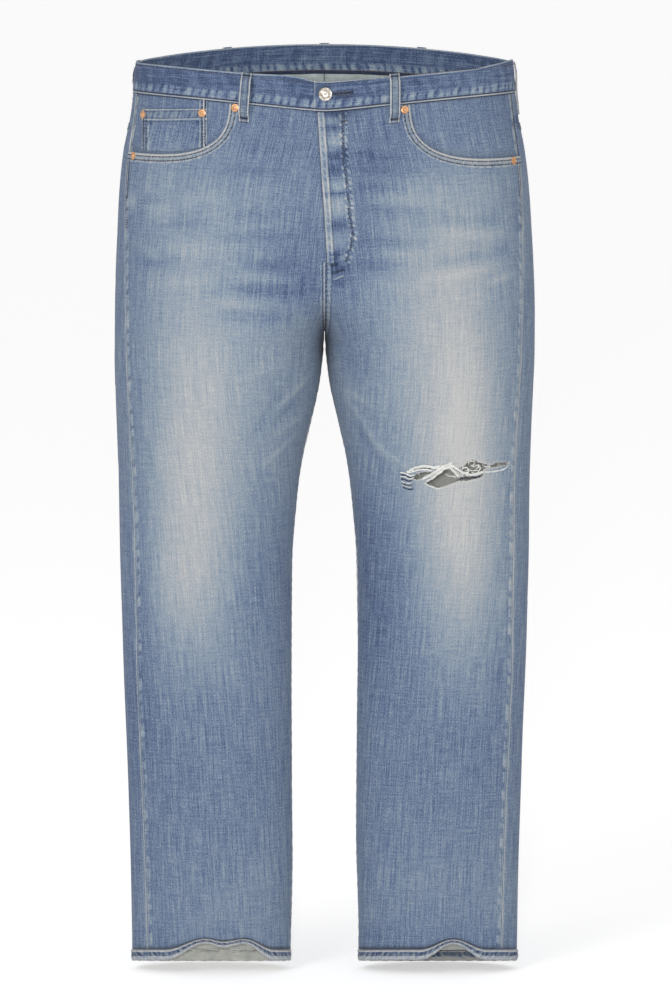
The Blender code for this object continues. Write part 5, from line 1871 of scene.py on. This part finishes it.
# ---------------------------------------------------------------- pockets
@dataclass
class Pockets:
    """Front pocket facings and edges, the coin pocket and the two plain back pockets."""

    facing_lift: float = -DENIM - LAYER_GAP
    edge_profile: tuple[Edge, ...] = edges(
        (-0.4, -1, 0.3), (0.3, 0.6, 0.56), (2.4, 1, 0.56), (3, 0.4, 0.14, 0.14), (3.8, 0.4, 0.14, 0.14),
        (4.5, 0.9, 0.3, 0.06), (7.6, 0.9, 0.28, 0.06), (8.3, 0.3, 0.1, 0.14), (9.2, 0.3, 0.1, 0.14),
        (9.9, 0.7, 0.34), (11.4, 0.3, 0.2), (13.2, -0.6, 0, 0.06),
    )

    def mouth_path(self, side: int) -> Array:
        """The pocket mouth's edge as flat places, from the side seam to the waistband."""
        x = FORM.mouth_x(side, np.linspace(0, math.pi / 2, 240)[:-1])
        level = FORM.pocket_mouth(side, x)
        foot = FORM.side_seam(level)
        return FORM.flat_at(foot + FORM.column_at(POCKET_LEVEL, x) * (1 - foot), level)

    def front(self, sewing: Sewing, side: int, word: str) -> list[Object]:
        """One front pocket's folded edge with its rows of stitches."""
        path = self.mouth_path(side)
        ropes = (
            Rope(0.0054, 0.5, -0.0046, -0.0024, 0.14, 0.0002, side + 1.0, shade=0.62),
            Rope(0.0047, -0.3, -0.0102, -0.007, 0.16, 0.0003, side + 3.0, shade=0.62),
            Rope(0.013, -0.7, -0.0126, -0.0092, 0.14, 0.0003, side + 5.0),
        )
        strip = sewing.strip(
            "pocket_edge_" + word, side, path, mirrored(self.edge_profile), ropes, thickness=0.0009
        )
        rows = [(side, beside(path, -off)) for off in (0.0034, 0.0087)]
        stitches = sewing.stitches("pocket_edge_stitches_" + word, rows, 0.0008, pitch=0.003)
        return [strip, stitches]

    def facing(self, sewing: Sewing, legs: Legs, side: int, name: str) -> None:
        """The denim behind a pocket mouth."""
        places, columns = legs.mouth_columns(side)
        last = float(FORM.column_at(POCKET_LEVEL, POCKET_MOUTH_X[side] - FACING_TUCK))
        inside = places >= POCKET_MOUTH_X[side] - 1e-6
        columns = np.concatenate([columns[inside], np.linspace(columns[inside][-1], last, 5)[1:]])
        bottom = FORM.pocket_mouth(side, places[inside]) - FACING_TUCK
        bottom = np.concatenate([bottom, np.full(4, bottom[-1])])
        bottom = np.minimum(bottom, BAND_BOTTOM - FACING_LEAST)
        top = BAND_BOTTOM - SEAM_GAP
        level = top + (bottom - top) * np.linspace(0, 1, 26)[:, None]
        share = legs.front_shares(side, level, columns)
        laid = SURFACE.lay(side, share, level, self.facing_lift)
        weave = FORM.flat_at(share, level)
        edge = FORM.pocket_mouth(side, np.clip(laid.x * side, POCKET_MOUTH_X[side], None))
        # painted shade on the facing just under the pocket mouth's edge
        shade = 0.3 * bell((level - edge) / 0.007)
        piece = sewing.cloth(name, laid, weave, 0.02, shade, node=name)
        area = min(legs.area(weave), 0.2 * 0.11)

    def coin(self, sewing: Sewing) -> None:
        """The coin pocket on the wearer's right facing."""
        inner, outer, inner_top, outer_top = COIN_POCKET
        places = np.linspace(outer, inner, 116)
        top = np.interp(places, (inner, outer), (inner_top, outer_top))
        bottom = FORM.pocket_mouth(-1, places) + COIN_CLEAR
        part = np.linspace(0, 1, 110)[:, None]
        level = top + (bottom - top) * part
        share = FORM.share_at(level, places + 0 * level)
        run = share * FORM.reach(level)
        down = top - level
        from_side = np.minimum(places - inner, outer - places) + 0 * level
        wear = 0.03 + 0.4 * bell((down - 0.0014) / 0.0009, 4) + 0.4 * bell((down - 0.0138) / 0.001)
        wear = wear + 0.34 * bell((from_side - 0.0005) / 0.0008) + 0.26 * bell((from_side - 0.0092) / 0.0009)
        wear = wear - 0.35 * bell((down - 0.0185) / 0.003) * bell((from_side - 0.011) / 0.003)
        # a painted shadow along the pocket's top edge, and darker lines below it
        shade = 0.85 * bell(down / 0.0006) + 0.16 * bell((down - 0.0072) / 0.004, 4)
        shade = shade + 0.45 * bell((down - 0.0164) / 0.0009)
        # beads of painted shadow beside the stitches down the pocket's sides
        beads = 0.5 + 0.5 * np.sin(2 * math.pi * level / 0.0043 + 1.4 * wander(level, 0.02, 3.0))
        for column in (0.0028, 0.0062):
            beaded = (0.25 + 0.55 * beads) * bell((from_side - column) / 0.001)
            shade = shade + beaded * ease(down, 0.012, 0.016)
        patches = Rope(0.0098, 0.3, 0.0026, 0.0128, 0.24, 0.00035, 1.0, cusped=True)
        sides = Rope(0.0043, 0.2, 0.0018, 0.008, 0.16, 0.0002, 4.0)
        height = 0.0004 * bell((down - 0.006) / 0.008, 4)
        height, wear, _ = pucker([patches], run, down, height, wear)
        height, wear, _ = pucker([sides], level, from_side, height, wear)
        height = height - 0.0008 * bell(from_side / 0.0009) - 0.0006 * bell(down / 0.0008)
        laid = SURFACE.lay(-1, share, level, -0.0001 + height)
        weave = flat(run, level)
        piece = sewing.cloth("coin_pocket", laid, weave, wear, shade, DENIM, "coin_pocket", edge=True)
        rows = [self._row(down, depth) for depth in (0.0034, 0.0126)]
        routes = [(-1, flat(run[row], level[row])) for row in rows]
        for column in (4, 9, -5, -10):
            routes.append((-1, flat(run[8:, column], level[8:, column])))
        stitches = sewing.stitches(
            "coin_pocket_stitches", routes, 0.0003, pitch=0.0036, finish=sewing.finishes.navy
        )
        seam = self.coin_seam(sewing, inner + 0.0026)

    def coin_seam(self, sewing: Sewing, x: float) -> Object:
        """The felled line beside the coin pocket's inner edge, from the band down to the pocket mouth."""
        level = np.linspace(BAND_BOTTOM - 0.0006, float(FORM.pocket_mouth(-1, np.array(x))) + 0.0004, 60)
        path = FORM.flat_from(np.full(60, x), level)
        profile = edges(
            (-8.2, -1.2, 0.1), (-7.2, 0.3, 0.3), (-6, 0.3, 0.2), (-5, -0.1, 0, 0.45), (-2.6, -0.1, 0, 0.45),
            (-1.8, 0.4, 0.56), (-0.6, 0.4, 0.56), (0, -0.4, -0.1, 0.88), (1.2, -0.4, -0.1, 0.88),
            (2, -0.9, 0.3), (3, -1.6, 0.15),
        )
        rope = Rope(0.0043, 0.2, -0.0056, -0.002, 0.34, 0.0002, 2.0)
        return sewing.strip(
            "coin_pocket_seam", -1, path, profile, [rope], lift=0.0002, pitch=0.0012, thickness=0.0005
        )

    def _row(self, down: Array, depth: float) -> int:
        """The row nearest a depth at a grid's middle."""
        return int(np.argmin(np.abs(down[:, down.shape[1] // 2] - depth)))

    def back(self, sewing: Sewing, side: int, name: str) -> None:
        """A plain patch pocket behind, narrowing to a blunt point."""
        near, far, top, height, point, narrowing = BACK_POCKET
        columns = np.linspace(-1, 1, 74)
        rows = np.linspace(0, 1, 90)[:, None]
        bottom = top - height + point * np.abs(columns)
        level = top + (bottom - top) * rows
        middle, half = (near + far) / 2, (far - near) / 2
        place = middle + columns * half * (1 - narrowing * rows)
        share = FORM.share_at(level, place, -1)
        run = share * FORM.reach(level, -1)
        wide = half * (1 - narrowing * rows)
        from_edge = np.minimum((1 - np.abs(columns)) * wide, (level - bottom))
        down = top - level
        fold = ease(down, 0.0, 0.0012) * ease(from_edge, 0.0, 0.0012)
        lift = LAYER_GAP + DENIM - 0.001 * (1 - fold) + 0.001 * bell(columns) * bell((rows - 0.4) / 0.35)
        wear = 0.02 + 0.3 * bell(from_edge / 0.0016) + 0.34 * bell(down / 0.0016)
        wear = wear + 0.16 * bell((down - 0.015) / 0.0014)
        shade = 0.3 * bell((from_edge - 0.0028) / 0.0011) + 0.26 * bell((from_edge - 0.009) / 0.0011)
        shade = shade + 0.32 * bell((down - 0.013) / 0.0012)
        top_rope = Rope(0.0135, 0.6, 0.002, 0.012, 0.13, 0.0004, side + 2.0)
        side_rope = Rope(0.011, 0.9, 0.0025, 0.009, 0.11, 0.0004, side + 6.0)
        lift, wear, _ = pucker([top_rope], run, down, lift, wear)
        lift, wear, _ = pucker([side_rope], level, from_edge, lift, wear)
        laid = SURFACE.lay(side, share, level, lift)
        piece = sewing.cloth(name, laid, flat(run, level), wear, shade, DENIM, name, edge=True)
        row = self._row(down, 0.013)
        routes = [(side, flat(run[row, 2:-2], level[row, 2:-2]))]
        for inset in (0.0028, 0.009):
            part = 1 - inset / wide[:, 0]
            for turn in (-1, 1):
                share_in = FORM.share_at(level[1:-4, 0], middle + turn * part[1:-4] * wide[1:-4, 0], -1)
                run_in = share_in * FORM.reach(level[1:-4, 0], -1)
                routes.append((side, flat(run_in, level[1:-4, 36])))
            foot = bottom + inset * 1.02
            edge = columns * (half * (1 - narrowing) - inset) / half / (1 - narrowing)
            place_in = middle + edge * half * (1 - narrowing)
            run_in = FORM.share_at(foot, place_in, -1) * FORM.reach(foot, -1)
            routes.append((side, flat(run_in, foot)))
        stitches = sewing.stitches(name + "_stitches", routes, LAYER_GAP + DENIM + 0.0006)


# ---------------------------------------------------------------- seams and fly
@dataclass
class Seams:
    """The raised and stitched lines where the panels join."""

    side_profile: tuple[Edge, ...] = edges(
        (-1.2, -1, 0, 0.3), (-0.6, -0.4, -0.05, 0.5), (0.1, -0.2, -0.05, 0.5), (0.6, 0.4, 0.46),
        (1.6, 0.4, 0.44), (2.1, -0.2, -0.06, 0.28), (2.7, -0.2, -0.06, 0.28), (3.2, 0.3, 0.28),
        (3.9, 0.3, 0.22), (4.6, 0, -0.06, 0.04), (8.8, -0.2), (10.4, -0.9),
    )
    top_profile: tuple[Edge, ...] = edges(
        (-3, -0.4, 0.1), (-1.2, 0.2, 0.1, 0.1), (-0.7, -0.3, -0.1, 0.85), (0.3, -0.3, -0.1, 0.85),
        (0.8, 0.4, 0.52), (1.8, 0.4, 0.52), (2.3, -0.2, -0.1, 0.85), (3.4, -0.2, -0.1, 0.8), (3.9, 0.4, 0.44),
        (5, 0.4, 0.4), (5.8, 0.1, 0, 0.15), (7.2, -0.6),
    )
    side_lean: float = 0.0018
    double_end: float = -0.152
    tack_level: float = -0.194
    felled_profile: tuple[Edge, ...] = edges(
        (-6, -1, 0.06), (-5.2, 0.6, 0.28), (-4, 0.6, 0.06), (-3.1, 0.1, -0.04, 0.26), (0, 0.9, 0.05),
        (3.1, 0.1, -0.04, 0.26), (4.2, 0.6, 0.08), (5.2, 0.5, 0.24), (6, -1, 0, 0.16),
    )
    side_rope: Rope = Rope(0.0215, 0.45, 0.0034, 0.0094, 0.34, 0.001, 0.3, cusped=True, shade=0.5)
    felled_rope: Rope = Rope(0.014, 0.7, -0.005, 0.005, 0.12, 0.0005, 1.9)

    def leaning(self, side: int, level: Array) -> Array:
        """The side seam's line as worn, a little out at the wearer's right hip and in at the left."""
        path = FORM.flat_at(FORM.side_seam(level), level)
        path[:, 0] += side * self.side_lean * ease(level, -0.62, -0.45)
        return path

    def side(self, sewing: Sewing, side: int, word: str) -> list[Object]:
        """The side seam's ridge and puckers, in front of its line, and its lap behind."""
        rope = replace(self.side_rope, seed=0.3 + side)
        level = np.linspace(self.double_end, HEM_LEVEL + HEM_HEIGHT + 0.0006, 220)
        path = self.leaning(side, level)
        front = sewing.strip("side_seam_" + word, side, path, self.side_profile, [rope], thickness=0.0007)
        level = np.linspace(-0.104, self.double_end, 60)
        path = self.leaning(side, level)
        double = sewing.strip(
            "side_seam_double_" + word, side, path, self.top_profile, lift=0.0002, thickness=0.0006
        )
        level = np.linspace(BAND_BOTTOM - 0.0006, HEM_LEVEL + HEM_HEIGHT + 0.0006, 240)
        path = self.leaning(side, level)
        level_top = np.linspace(BAND_BOTTOM - 0.0006, -0.1045, 60)
        top = self.leaning(side, level_top)
        upper = sewing.strip(
            "side_seam_top_" + word, side, top, self.top_profile, [rope], lift=-0.0019, thickness=0.0005
        )
        stitched = np.linspace(-0.107, self.tack_level, 60)
        line = self.leaning(side, stitched)
        rows = [(side, beside(line, off)) for off in (0.0029, 0.0064)]
        threads = sewing.stitches("side_seam_stitches_" + word, rows, 0.0004, finish=sewing.finishes.navy)
        lap = edges((-4.6, -1), (-3.6, 0.2, 0.04), (-0.8, 0.3, 0.1), (0.1, -0.8, 0, 0.15))
        behind = sewing.strip("side_seam_lap_" + word, side, path, lap, thickness=0.0006)
        return [front, double, behind, upper, threads]

    def inseam(self, sewing: Sewing, side: int, word: str) -> list[Object]:
        """The inseam's felled ridge, a half on the front and a half behind."""
        level = np.linspace(CROTCH_LEVEL - 0.012, HEM_LEVEL + HEM_HEIGHT + 0.0006, 210)
        front = edges(
            (-6.2, -1), (-5.2, 0.4, 0.22), (-3.6, 0.1, -0.03, 0.22), (-0.6, 0.7, 0.1), (-0.1, -0.6, 0, 0.2)
        )
        rope = Rope(0.015, 0.7, -0.0055, -0.0005, 0.12, 0.0005, side + 0.4)
        path = FORM.flat_at(np.ones(210), level)
        ahead = sewing.strip("inseam_front_" + word, side, path, front, [rope], thickness=0.0006)
        rope = Rope(0.015, 0.7, 0.0005, 0.0055, 0.12, 0.0005, side + 2.4)
        path = FORM.flat_at(np.full(210, -1.0), level, -1)
        behind = sewing.strip("inseam_back_" + word, side, path, mirrored(front), [rope], thickness=0.0006)
        return [ahead, behind]

    def yoke(self, sewing: Sewing, legs: Legs, side: int, word: str) -> list[Object]:
        """The felled seam between the yoke and the back leg."""
        column = np.linspace(0.035, 0.998, 90)
        level = legs.yoke_line(column)
        path = FORM.flat_at(legs.back_shares(level, column), level, -1)
        strip = sewing.strip(
            "yoke_seam_" + word, side, path, self.felled_profile, [self.felled_rope], thickness=0.0007
        )
        rows = [(side, beside(path, off)) for off in (-0.0031, 0.0031)]
        return [strip, sewing.stitches("yoke_seam_stitches_" + word, rows, 0.0006)]

    def back_rise(self, sewing: Sewing) -> list[Object]:
        """The felled centre seam behind, from the waistband down to the crotch."""
        level = np.linspace(BAND_BOTTOM - 0.001, CROTCH_LEVEL + 0.02, 150)
        path = FORM.flat_at(np.full(150, -1.0), level, -1)
        strip = sewing.strip(
            "back_rise", 1, path, self.felled_profile, [self.felled_rope], lift=0.001, thickness=0.0007
        )
        rows = [(1, beside(path, off)) for off in (-0.0031, 0.0031)]
        return [strip, sewing.stitches("back_rise_stitches", rows, 0.0016)]

    def front_rise(self, sewing: Sewing) -> list[Object]:
        """The short felled seam between the fly's foot and the crotch."""
        level = np.linspace(-0.2265, CROTCH_LEVEL + 0.016, 70)
        path = FORM.flat_at(np.ones(70), level)
        profile = edges(
            (-11.8, -1), (-10.4, 0.1, -0.06, 0.24), (-8.8, 0.2, -0.02, 0.12), (-7.8, 0.6, 0.26),
            (-4.4, 0.6, 0.26), (-3.6, -0.2, -0.05, 0.6), (-1.4, -0.2, -0.05, 0.6), (-0.7, 0.7, 0.46),
            (0.6, 0.7, 0.46), (1.2, -0.2, -0.1, 0.55), (2.4, -0.2, -0.1, 0.5), (3.4, 0.3, 0.22),
            (5, 0.2, 0.14), (6.4, -1),
        )
        rope = Rope(0.0075, 0.5, -0.0085, 0.005, 0.12, 0.0003, 5.0)
        return [
            sewing.strip("front_rise", 1, path, profile, [rope], lift=0.0002, pitch=0.0016, thickness=0.0007)
        ]


@dataclass
class Fly:
    """The fly: its folded edge, the curved stitching of its placket, its tacks and its facing."""

    stitching: tuple[tuple[float, float], ...] = (
        (0.0239, -0.02), (0.024, -0.0385), (0.0246, -0.0754), (0.029, -0.1163), (0.0316, -0.148),
        (0.0332, -0.1673), (0.0366, -0.188), (0.0352, -0.1992), (0.033, -0.211), (0.0302, -0.2196),
        (0.0258, -0.2295),
    )
    edge_profile: tuple[Edge, ...] = edges(
        (-11.6, -1), (-10.4, 0.1, -0.1, 0.3), (-9.2, 0.1, -0.06, 0.26), (-8.4, 1, 0.42), (-6.8, 1.1, 0.42),
        (-5.6, 0.9, 0.2, 0.05), (-3.6, 0.9, 0.2, 0.05), (-2.4, 1.1, 0.42), (-0.6, 1, 0.48),
        (0, 0.1, 0.1, 0.3), (0.3, -1, -0.1, 0.7),
    )

    def path(self) -> Array:
        """The placket's stitching as flat places."""
        x, level = np.array(self.stitching).T
        steps = np.concatenate([[0], np.cumsum(np.hypot(np.diff(x), np.diff(level)))])
        places = np.linspace(0, steps[-1], 140)
        x, level = Curve(steps, x)(places), Curve(steps, level)(places)
        return FORM.flat_from(x, level)

    def build(self, sewing: Sewing, legs: Legs) -> list[Object]:
        """Makes the fly's pieces."""
        level = np.linspace(BAND_BOTTOM - 0.001, FLY_END - 0.004, 140)
        edge = FORM.flat_at(legs.front_shares(1, level, np.ones(140)), level)
        ropes = [Rope(0.0115, 0.5, -0.0066, -0.0026, 0.16, 0.0004, 1.0)]
        pieces = [sewing.strip("fly_edge", 1, edge, self.edge_profile, ropes, lift=0.0002, pitch=0.0016)]
        placket = edges(
            (-8, -1.1), (-6, 0.2, 0.1), (-3, 0.5, 0.16), (-1.2, 0.1, -0.14, 0.3), (0, -0.2, -0.2, 0.46),
            (1.2, 0.1, -0.14, 0.3), (2.6, 0.6, 0.16), (5, 0.3, 0.04), (6.4, -1.1),
        )
        ropes = [
            Rope(0.0085, 0.5, -0.006, 0.004, 0.38, 0.0007, 2.0),
            Rope(0.014, -0.3, -0.006, 0.006, 0.18, 0.0004, 4.0),
        ]
        pieces.append(sewing.strip("fly_placket", 1, self.path(), placket, ropes, pitch=0.0016, ends=0.006))
        rows = [(1, self.path()), (1, beside(self.path(), 0.0012))]
        pieces.append(
            sewing.stitches("fly_placket_stitches", rows, 0.0004, missing=0.25, finish=sewing.finishes.navy)
        )
        tacks = (
            ("fly_tack", (0.0075, -0.2302), (0.0178, -0.229), 0.0042),
            ("fly_tack_low", (0.0095, -0.2415), (0.0262, -0.2362), 0.003),
            ("placket_tack", (0.0225, -0.0345), (0.029, -0.034), 0.0022),
            ("placket_tack_low", (0.0235, -0.0715), (0.03, -0.071), 0.0018),
        )
        pieces += [self.tack(sewing, *tack) for tack in tacks]
        foot = FORM.flat_from(np.array((0.0268, 0.019, 0.0098)), np.array((-0.244, -0.2472, -0.2515)))
        ridge = edges((-3, -1), (-1.4, 0.2, -0.15, 0.45), (-0.4, 0.7, 0.34), (0.8, 0.7, 0.34), (2, -1))
        pieces.append(sewing.strip("fly_foot", 1, foot, ridge, pitch=0.0012, ends=0.003, thickness=0.0006))
        self.facing(sewing)
        return pieces

    def tack(
        self, sewing: Sewing, name: str, start: tuple[float, float], end: tuple[float, float], width: float
    ) -> Object:
        """A bar tack: a close zigzag of thread between two places (x, level)."""
        count = max(8, round(math.dist(start, end) / 0.00045))
        part = np.linspace(0, 1, count)
        x, level = start[0] + (end[0] - start[0]) * part, start[1] + (end[1] - start[1]) * part
        turn = np.where(np.arange(count) % 2 == 0, 0.5, -0.5) * width
        length = math.dist(start, end)
        x, level = x - turn * (end[1] - start[1]) / length, level + turn * (end[0] - start[0]) / length
        laid = SURFACE.lay_flat(1, FORM.run_at(level, x), level, 0.0011)
        return sewing.thread(name, [laid.points], 0.00042, sewing.finishes.navy)

    def facing(self, sewing: Sewing) -> None:
        """The strip behind the fly that doubles its placket."""
        level = np.linspace(BAND_BOTTOM - SEAM_GAP, FLY_FACING_END, 60)[:, None]
        left = FORM.fly_x(level) - FLY_UNDERLAP
        x = left + (FLY_WIDTH - left) * np.linspace(0, 1, 16)
        leaning = 2 - FORM.share_at(level, np.maximum(-x, 0))
        share = np.where(x >= 0, FORM.share_at(level, np.maximum(x, 0)), leaning)
        laid = SURFACE.lay(1, share, level, -DENIM - LAYER_GAP)
        weave = FORM.flat_at(share, level)
        piece = sewing.cloth("fly_facing", laid, weave, 0.0, 0.1, node="fly_facing")

    def buttonhole(self, sewing: Sewing) -> list[Object]:
        """The worked buttonhole: a slit, dark with painted shade, within a border of close stitches."""
        left, right, level = 0.0085, 0.0345, BUTTON_LEVEL
        x = np.linspace(right, left, 30)
        path = FORM.flat_from(x, np.full(30, level))
        # its dark middle lines are painted shade in the slit
        profile = edges(
            (-2.6, -0.4, 0.06), (-1.8, 0.6, 0.22, 0.1), (-0.8, 0.3, -0.15, 0.8), (0.8, 0.3, -0.15, 0.8),
            (1.8, 0.6, 0.22, 0.1), (2.6, -0.4, 0.06),
        )
        lift = BAND_PROUD + BAND_STEP + 0.0005
        slit = sewing.strip(
            "buttonhole", 1, path, profile, lift=lift, pitch=0.0012, thickness=0.0004, ends=0.002
        )
        around = np.linspace(0, 2 * math.pi, 150)
        reach = np.where(np.arange(150) % 2 == 0, 0.001, 0.0026)
        middle, half = (left + right) / 2, (right - left) / 2
        place_x = middle + half * np.cos(around) + reach * np.cos(around)
        place_z = level + reach * np.sin(around)
        laid = SURFACE.lay_flat(1, FORM.run_at(place_z, place_x), place_z, lift + 0.0008)
        return [slit, sewing.thread("buttonhole_stitches", [laid.points], 0.00034)]


# ---------------------------------------------------------------- button and rivets
@dataclass
class Metalwork:
    """The plain waist button and the rivets at the pocket corners."""

    button_profile: tuple[tuple[float, float], ...] = (
        (0.0, 0.0), (0.78, 0.0), (0.98, 0.14), (1.0, 0.3), (0.98, 0.46), (0.9, 0.58), (0.82, 0.56),
        (0.76, 0.47), (0.7, 0.5), (0.52, 0.68), (0.3, 0.78), (0.22, 0.75), (0.17, 0.8), (0.1, 0.86),
        (0.0, 0.88),
    )
    burr: float = 0.28
    rivet_spread: float = 1.1
    rivet_profile: tuple[tuple[float, float], ...] = (
        (0.0, 0.0), (1.0, 0.0), (1.02, 0.16), (0.94, 0.34), (0.7, 0.44), (0.5, 0.4), (0.42, 0.52),
        (0.38, 0.84), (0.26, 0.98), (0.12, 0.92), (0.0, 0.86),
    )

    def build(self, sewing: Sewing) -> None:
        """Makes each and stands it on the cloth."""
        on_band = BAND_PROUD + BAND_STEP + SEAM_GAP
        place = (BUTTON_X, BUTTON_LEVEL)
        size = (BUTTON_RADIUS, BUTTON_DEPTH / self.button_profile[-1][1])
        nickel, copper = sewing.finishes.nickel, sewing.finishes.copper
        self.stud(sewing, "button", self.button_profile, place, size, on_band, nickel, 48)
        height = max(height for _, height in self.rivet_profile)
        size = (self.rivet_spread * RIVET_RADIUS, RIVET_DEPTH / height)
        for name, place in RIVETS.items():
            self.stud(sewing, name, self.rivet_profile, place, size, 0.001, copper, 28)

    def tarnish_and_rim_shadow(self, mesh: Mesh, middle: Array, radius: float) -> None:
        """Darkens a rivet's hollow round its burr as tarnish, and its rim as tarnish and a painted shadow round
        the head.
        """
        for face in mesh.polygons:
            out = math.dist(face.center, middle) / radius
            # the rim's dark finish is partly a painted shadow round the head
            face.material_index = 1 if out > 0.93 * self.rivet_spread or out < self.burr else 0

    def stud(
        self,
        sewing: Sewing,
        name: str,
        profile: Sequence[tuple[float, float]],
        place: tuple[float, float],
        size: tuple[float, float],
        lift: float,
        finish: Material,
        sides: int,
    ) -> None:
        """Turns one head and seats it at a signed place along X and a level."""
        x, level = place
        side = 1 if x >= 0 else -1
        laid = SURFACE.lay(side, FORM.share_at(level, abs(x)), level, lift, folds=0.0)
        mesh = spun_mesh(name, [(radius * size[0], height * size[1]) for radius, height in profile], sides)
        normal = laid.normals
        along = np.cross((0.0, 0.0, 1.0), normal)
        along /= np.linalg.norm(along)
        axes = np.stack([along, np.cross(normal, along), normal])
        mesh.vertices.foreach_set("co", (read_points(mesh) @ axes + laid.points).ravel())
        piece = place_object(name + "_head", mesh, [finish, sewing.finishes.tarnish_and_rim_shadow])
        if finish == sewing.finishes.copper:
            self.tarnish_and_rim_shadow(mesh, laid.points, size[0])
        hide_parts(name)


# ---------------------------------------------------------------- studio
@dataclass
class Studio:
    """The pale floor, the soft light and the camera."""

    floor_size: float = 160.0
    camera_place: tuple[float, float, float] = (0.015, -9.0, 0.472)
    aim_level: float = -0.5556
    lens: float = 248.9
    sky: float = 0.48
    floor_seen: float = 0.98
    floor_glow: float = 0.44

    def build(self) -> None:
        """Makes all of it."""
        self.floor()
        self.world()
        self.lamps()
        self.camera()

    def floor(self) -> None:
        """A white floor that keeps the garment's shadow."""
        maker = bmesh.new()
        bmesh.ops.create_grid(maker, x_segments=2, y_segments=2, size=self.floor_size / 2)
        bmesh.ops.translate(maker, verts=maker.verts[:], vec=(0, 0, float(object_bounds()[0][2]) - 0.0001))
        mesh = made_mesh("floor", maker)
        w, shader = new_material("white floor", roughness=0.9, sheen=0.0)
        path = w.add("ShaderNodeLightPath")
        seen = w.sum("MAXIMUM", path.outputs["Is Camera Ray"], path.outputs["Is Glossy Ray"])
        seen_tone = (self.floor_seen, self.floor_seen, self.floor_seen, 1.0)
        w.plug(w.mix(seen, display(250, 250, 250), seen_tone), shader.inputs["Base Color"])
        shader.inputs["Emission Color"].default_value = (1.0, 1.0, 1.0, 1.0)
        w.plug(w.sum("MULTIPLY", seen, self.floor_glow), shader.inputs["Emission Strength"])
        mesh.materials.append(bpy.data.materials["white floor"])
        link_object("floor", mesh)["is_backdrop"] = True

    def world(self) -> None:
        """An even white sky, pure white to the camera."""
        world = bpy.data.worlds.new("studio")
        world.use_nodes = True
        w = Wiring(world.node_tree)
        back = world.node_tree.nodes["Background"]
        back.inputs["Color"].default_value = (1.0, 1.0, 1.0, 1.0)
        path = w.add("ShaderNodeLightPath")
        seen = w.sum("MAXIMUM", path.outputs["Is Camera Ray"], path.outputs["Is Glossy Ray"])
        w.plug(w.sum("ADD", w.sum("MULTIPLY", seen, 1.0 - self.sky), self.sky), back.inputs["Strength"])
        bpy.context.scene.world = world

    def lamps(self) -> None:
        """A broad soft lamp above the left, a weak one to the right and one beside the camera."""
        for name, place, size, power in (
            ("key", (-2.6, -4.2, 2.6), 2.4, 64.0),
            ("fill", (3.4, -3.6, 0.6), 2.6, 12.0),
            ("front", (-0.12, -8.7, 0.5), 0.5, 215.0),
        ):
            lamp = bpy.data.lights.new(name, "AREA")
            lamp.shape, lamp.size, lamp.energy = "DISK", size, power
            obj = link_object(name, lamp)
            obj.location = place
            away = np.array(place) - np.array((0, 0, -0.55))
            tilt = math.atan2(math.hypot(away[0], away[1]), away[2])
            obj.rotation_euler = (tilt, 0, math.atan2(away[0], -away[1]))

    def camera(self) -> None:
        """A long lens from a little above the waist."""
        camera = bpy.data.cameras.new("camera")
        camera.lens, camera.sensor_width, camera.sensor_fit = self.lens, 36.0, "AUTO"
        camera.clip_end = 300.0
        obj = link_object("camera", camera)
        obj.location = self.camera_place
        pitch = math.atan2(self.camera_place[2] - self.aim_level, -self.camera_place[1])
        obj.rotation_euler = (math.pi / 2 - pitch, 0, 0)
        bpy.context.scene.camera = obj


def main() -> None:
    """Builds the jeans and the studio."""
    logging.basicConfig(level=logging.INFO, format="%(name)s: %(message)s")
    sewing, legs, seams, fly, pockets = Sewing(Finishes()), Legs(), Seams(), Fly(), Pockets()
    rise = seams.back_rise(sewing)
    fly_pieces = fly.build(sewing, legs) + seams.front_rise(sewing)
    for side, word in SIDES:
        front = legs.front(sewing, side, "front_" + word)
        back = legs.back(sewing, side, "back_" + word)
        legs.yoke(sewing, side, "yoke_" + word)
        on_front, on_back = seams.side(sewing, side, word), seams.yoke(sewing, legs, side, word)
        for pieces, piece in zip((on_front, on_back), seams.inseam(sewing, side, word)):
            pieces.append(piece)
        on_front += pockets.front(sewing, side, word)
        if side > 0:
            on_front += fly_pieces + Rip().build(sewing, front[0])
            on_back += rise
        legs.hang(front, on_front)
        legs.hang(back, on_back)
        pockets.facing(sewing, legs, side, "pocket_facing_" + word)
        pockets.back(sewing, side, "back_pocket_" + word)
        Hems().build(sewing, legs, side, "hem_" + word)
    pockets.coin(sewing)
    Waistband().build(sewing)
    fly.buttonhole(sewing)
    Metalwork().build(sewing)
    bpy.context.scene.view_settings.view_transform = "Standard"
    Studio().build()


if __name__ == "__main__":
    main()
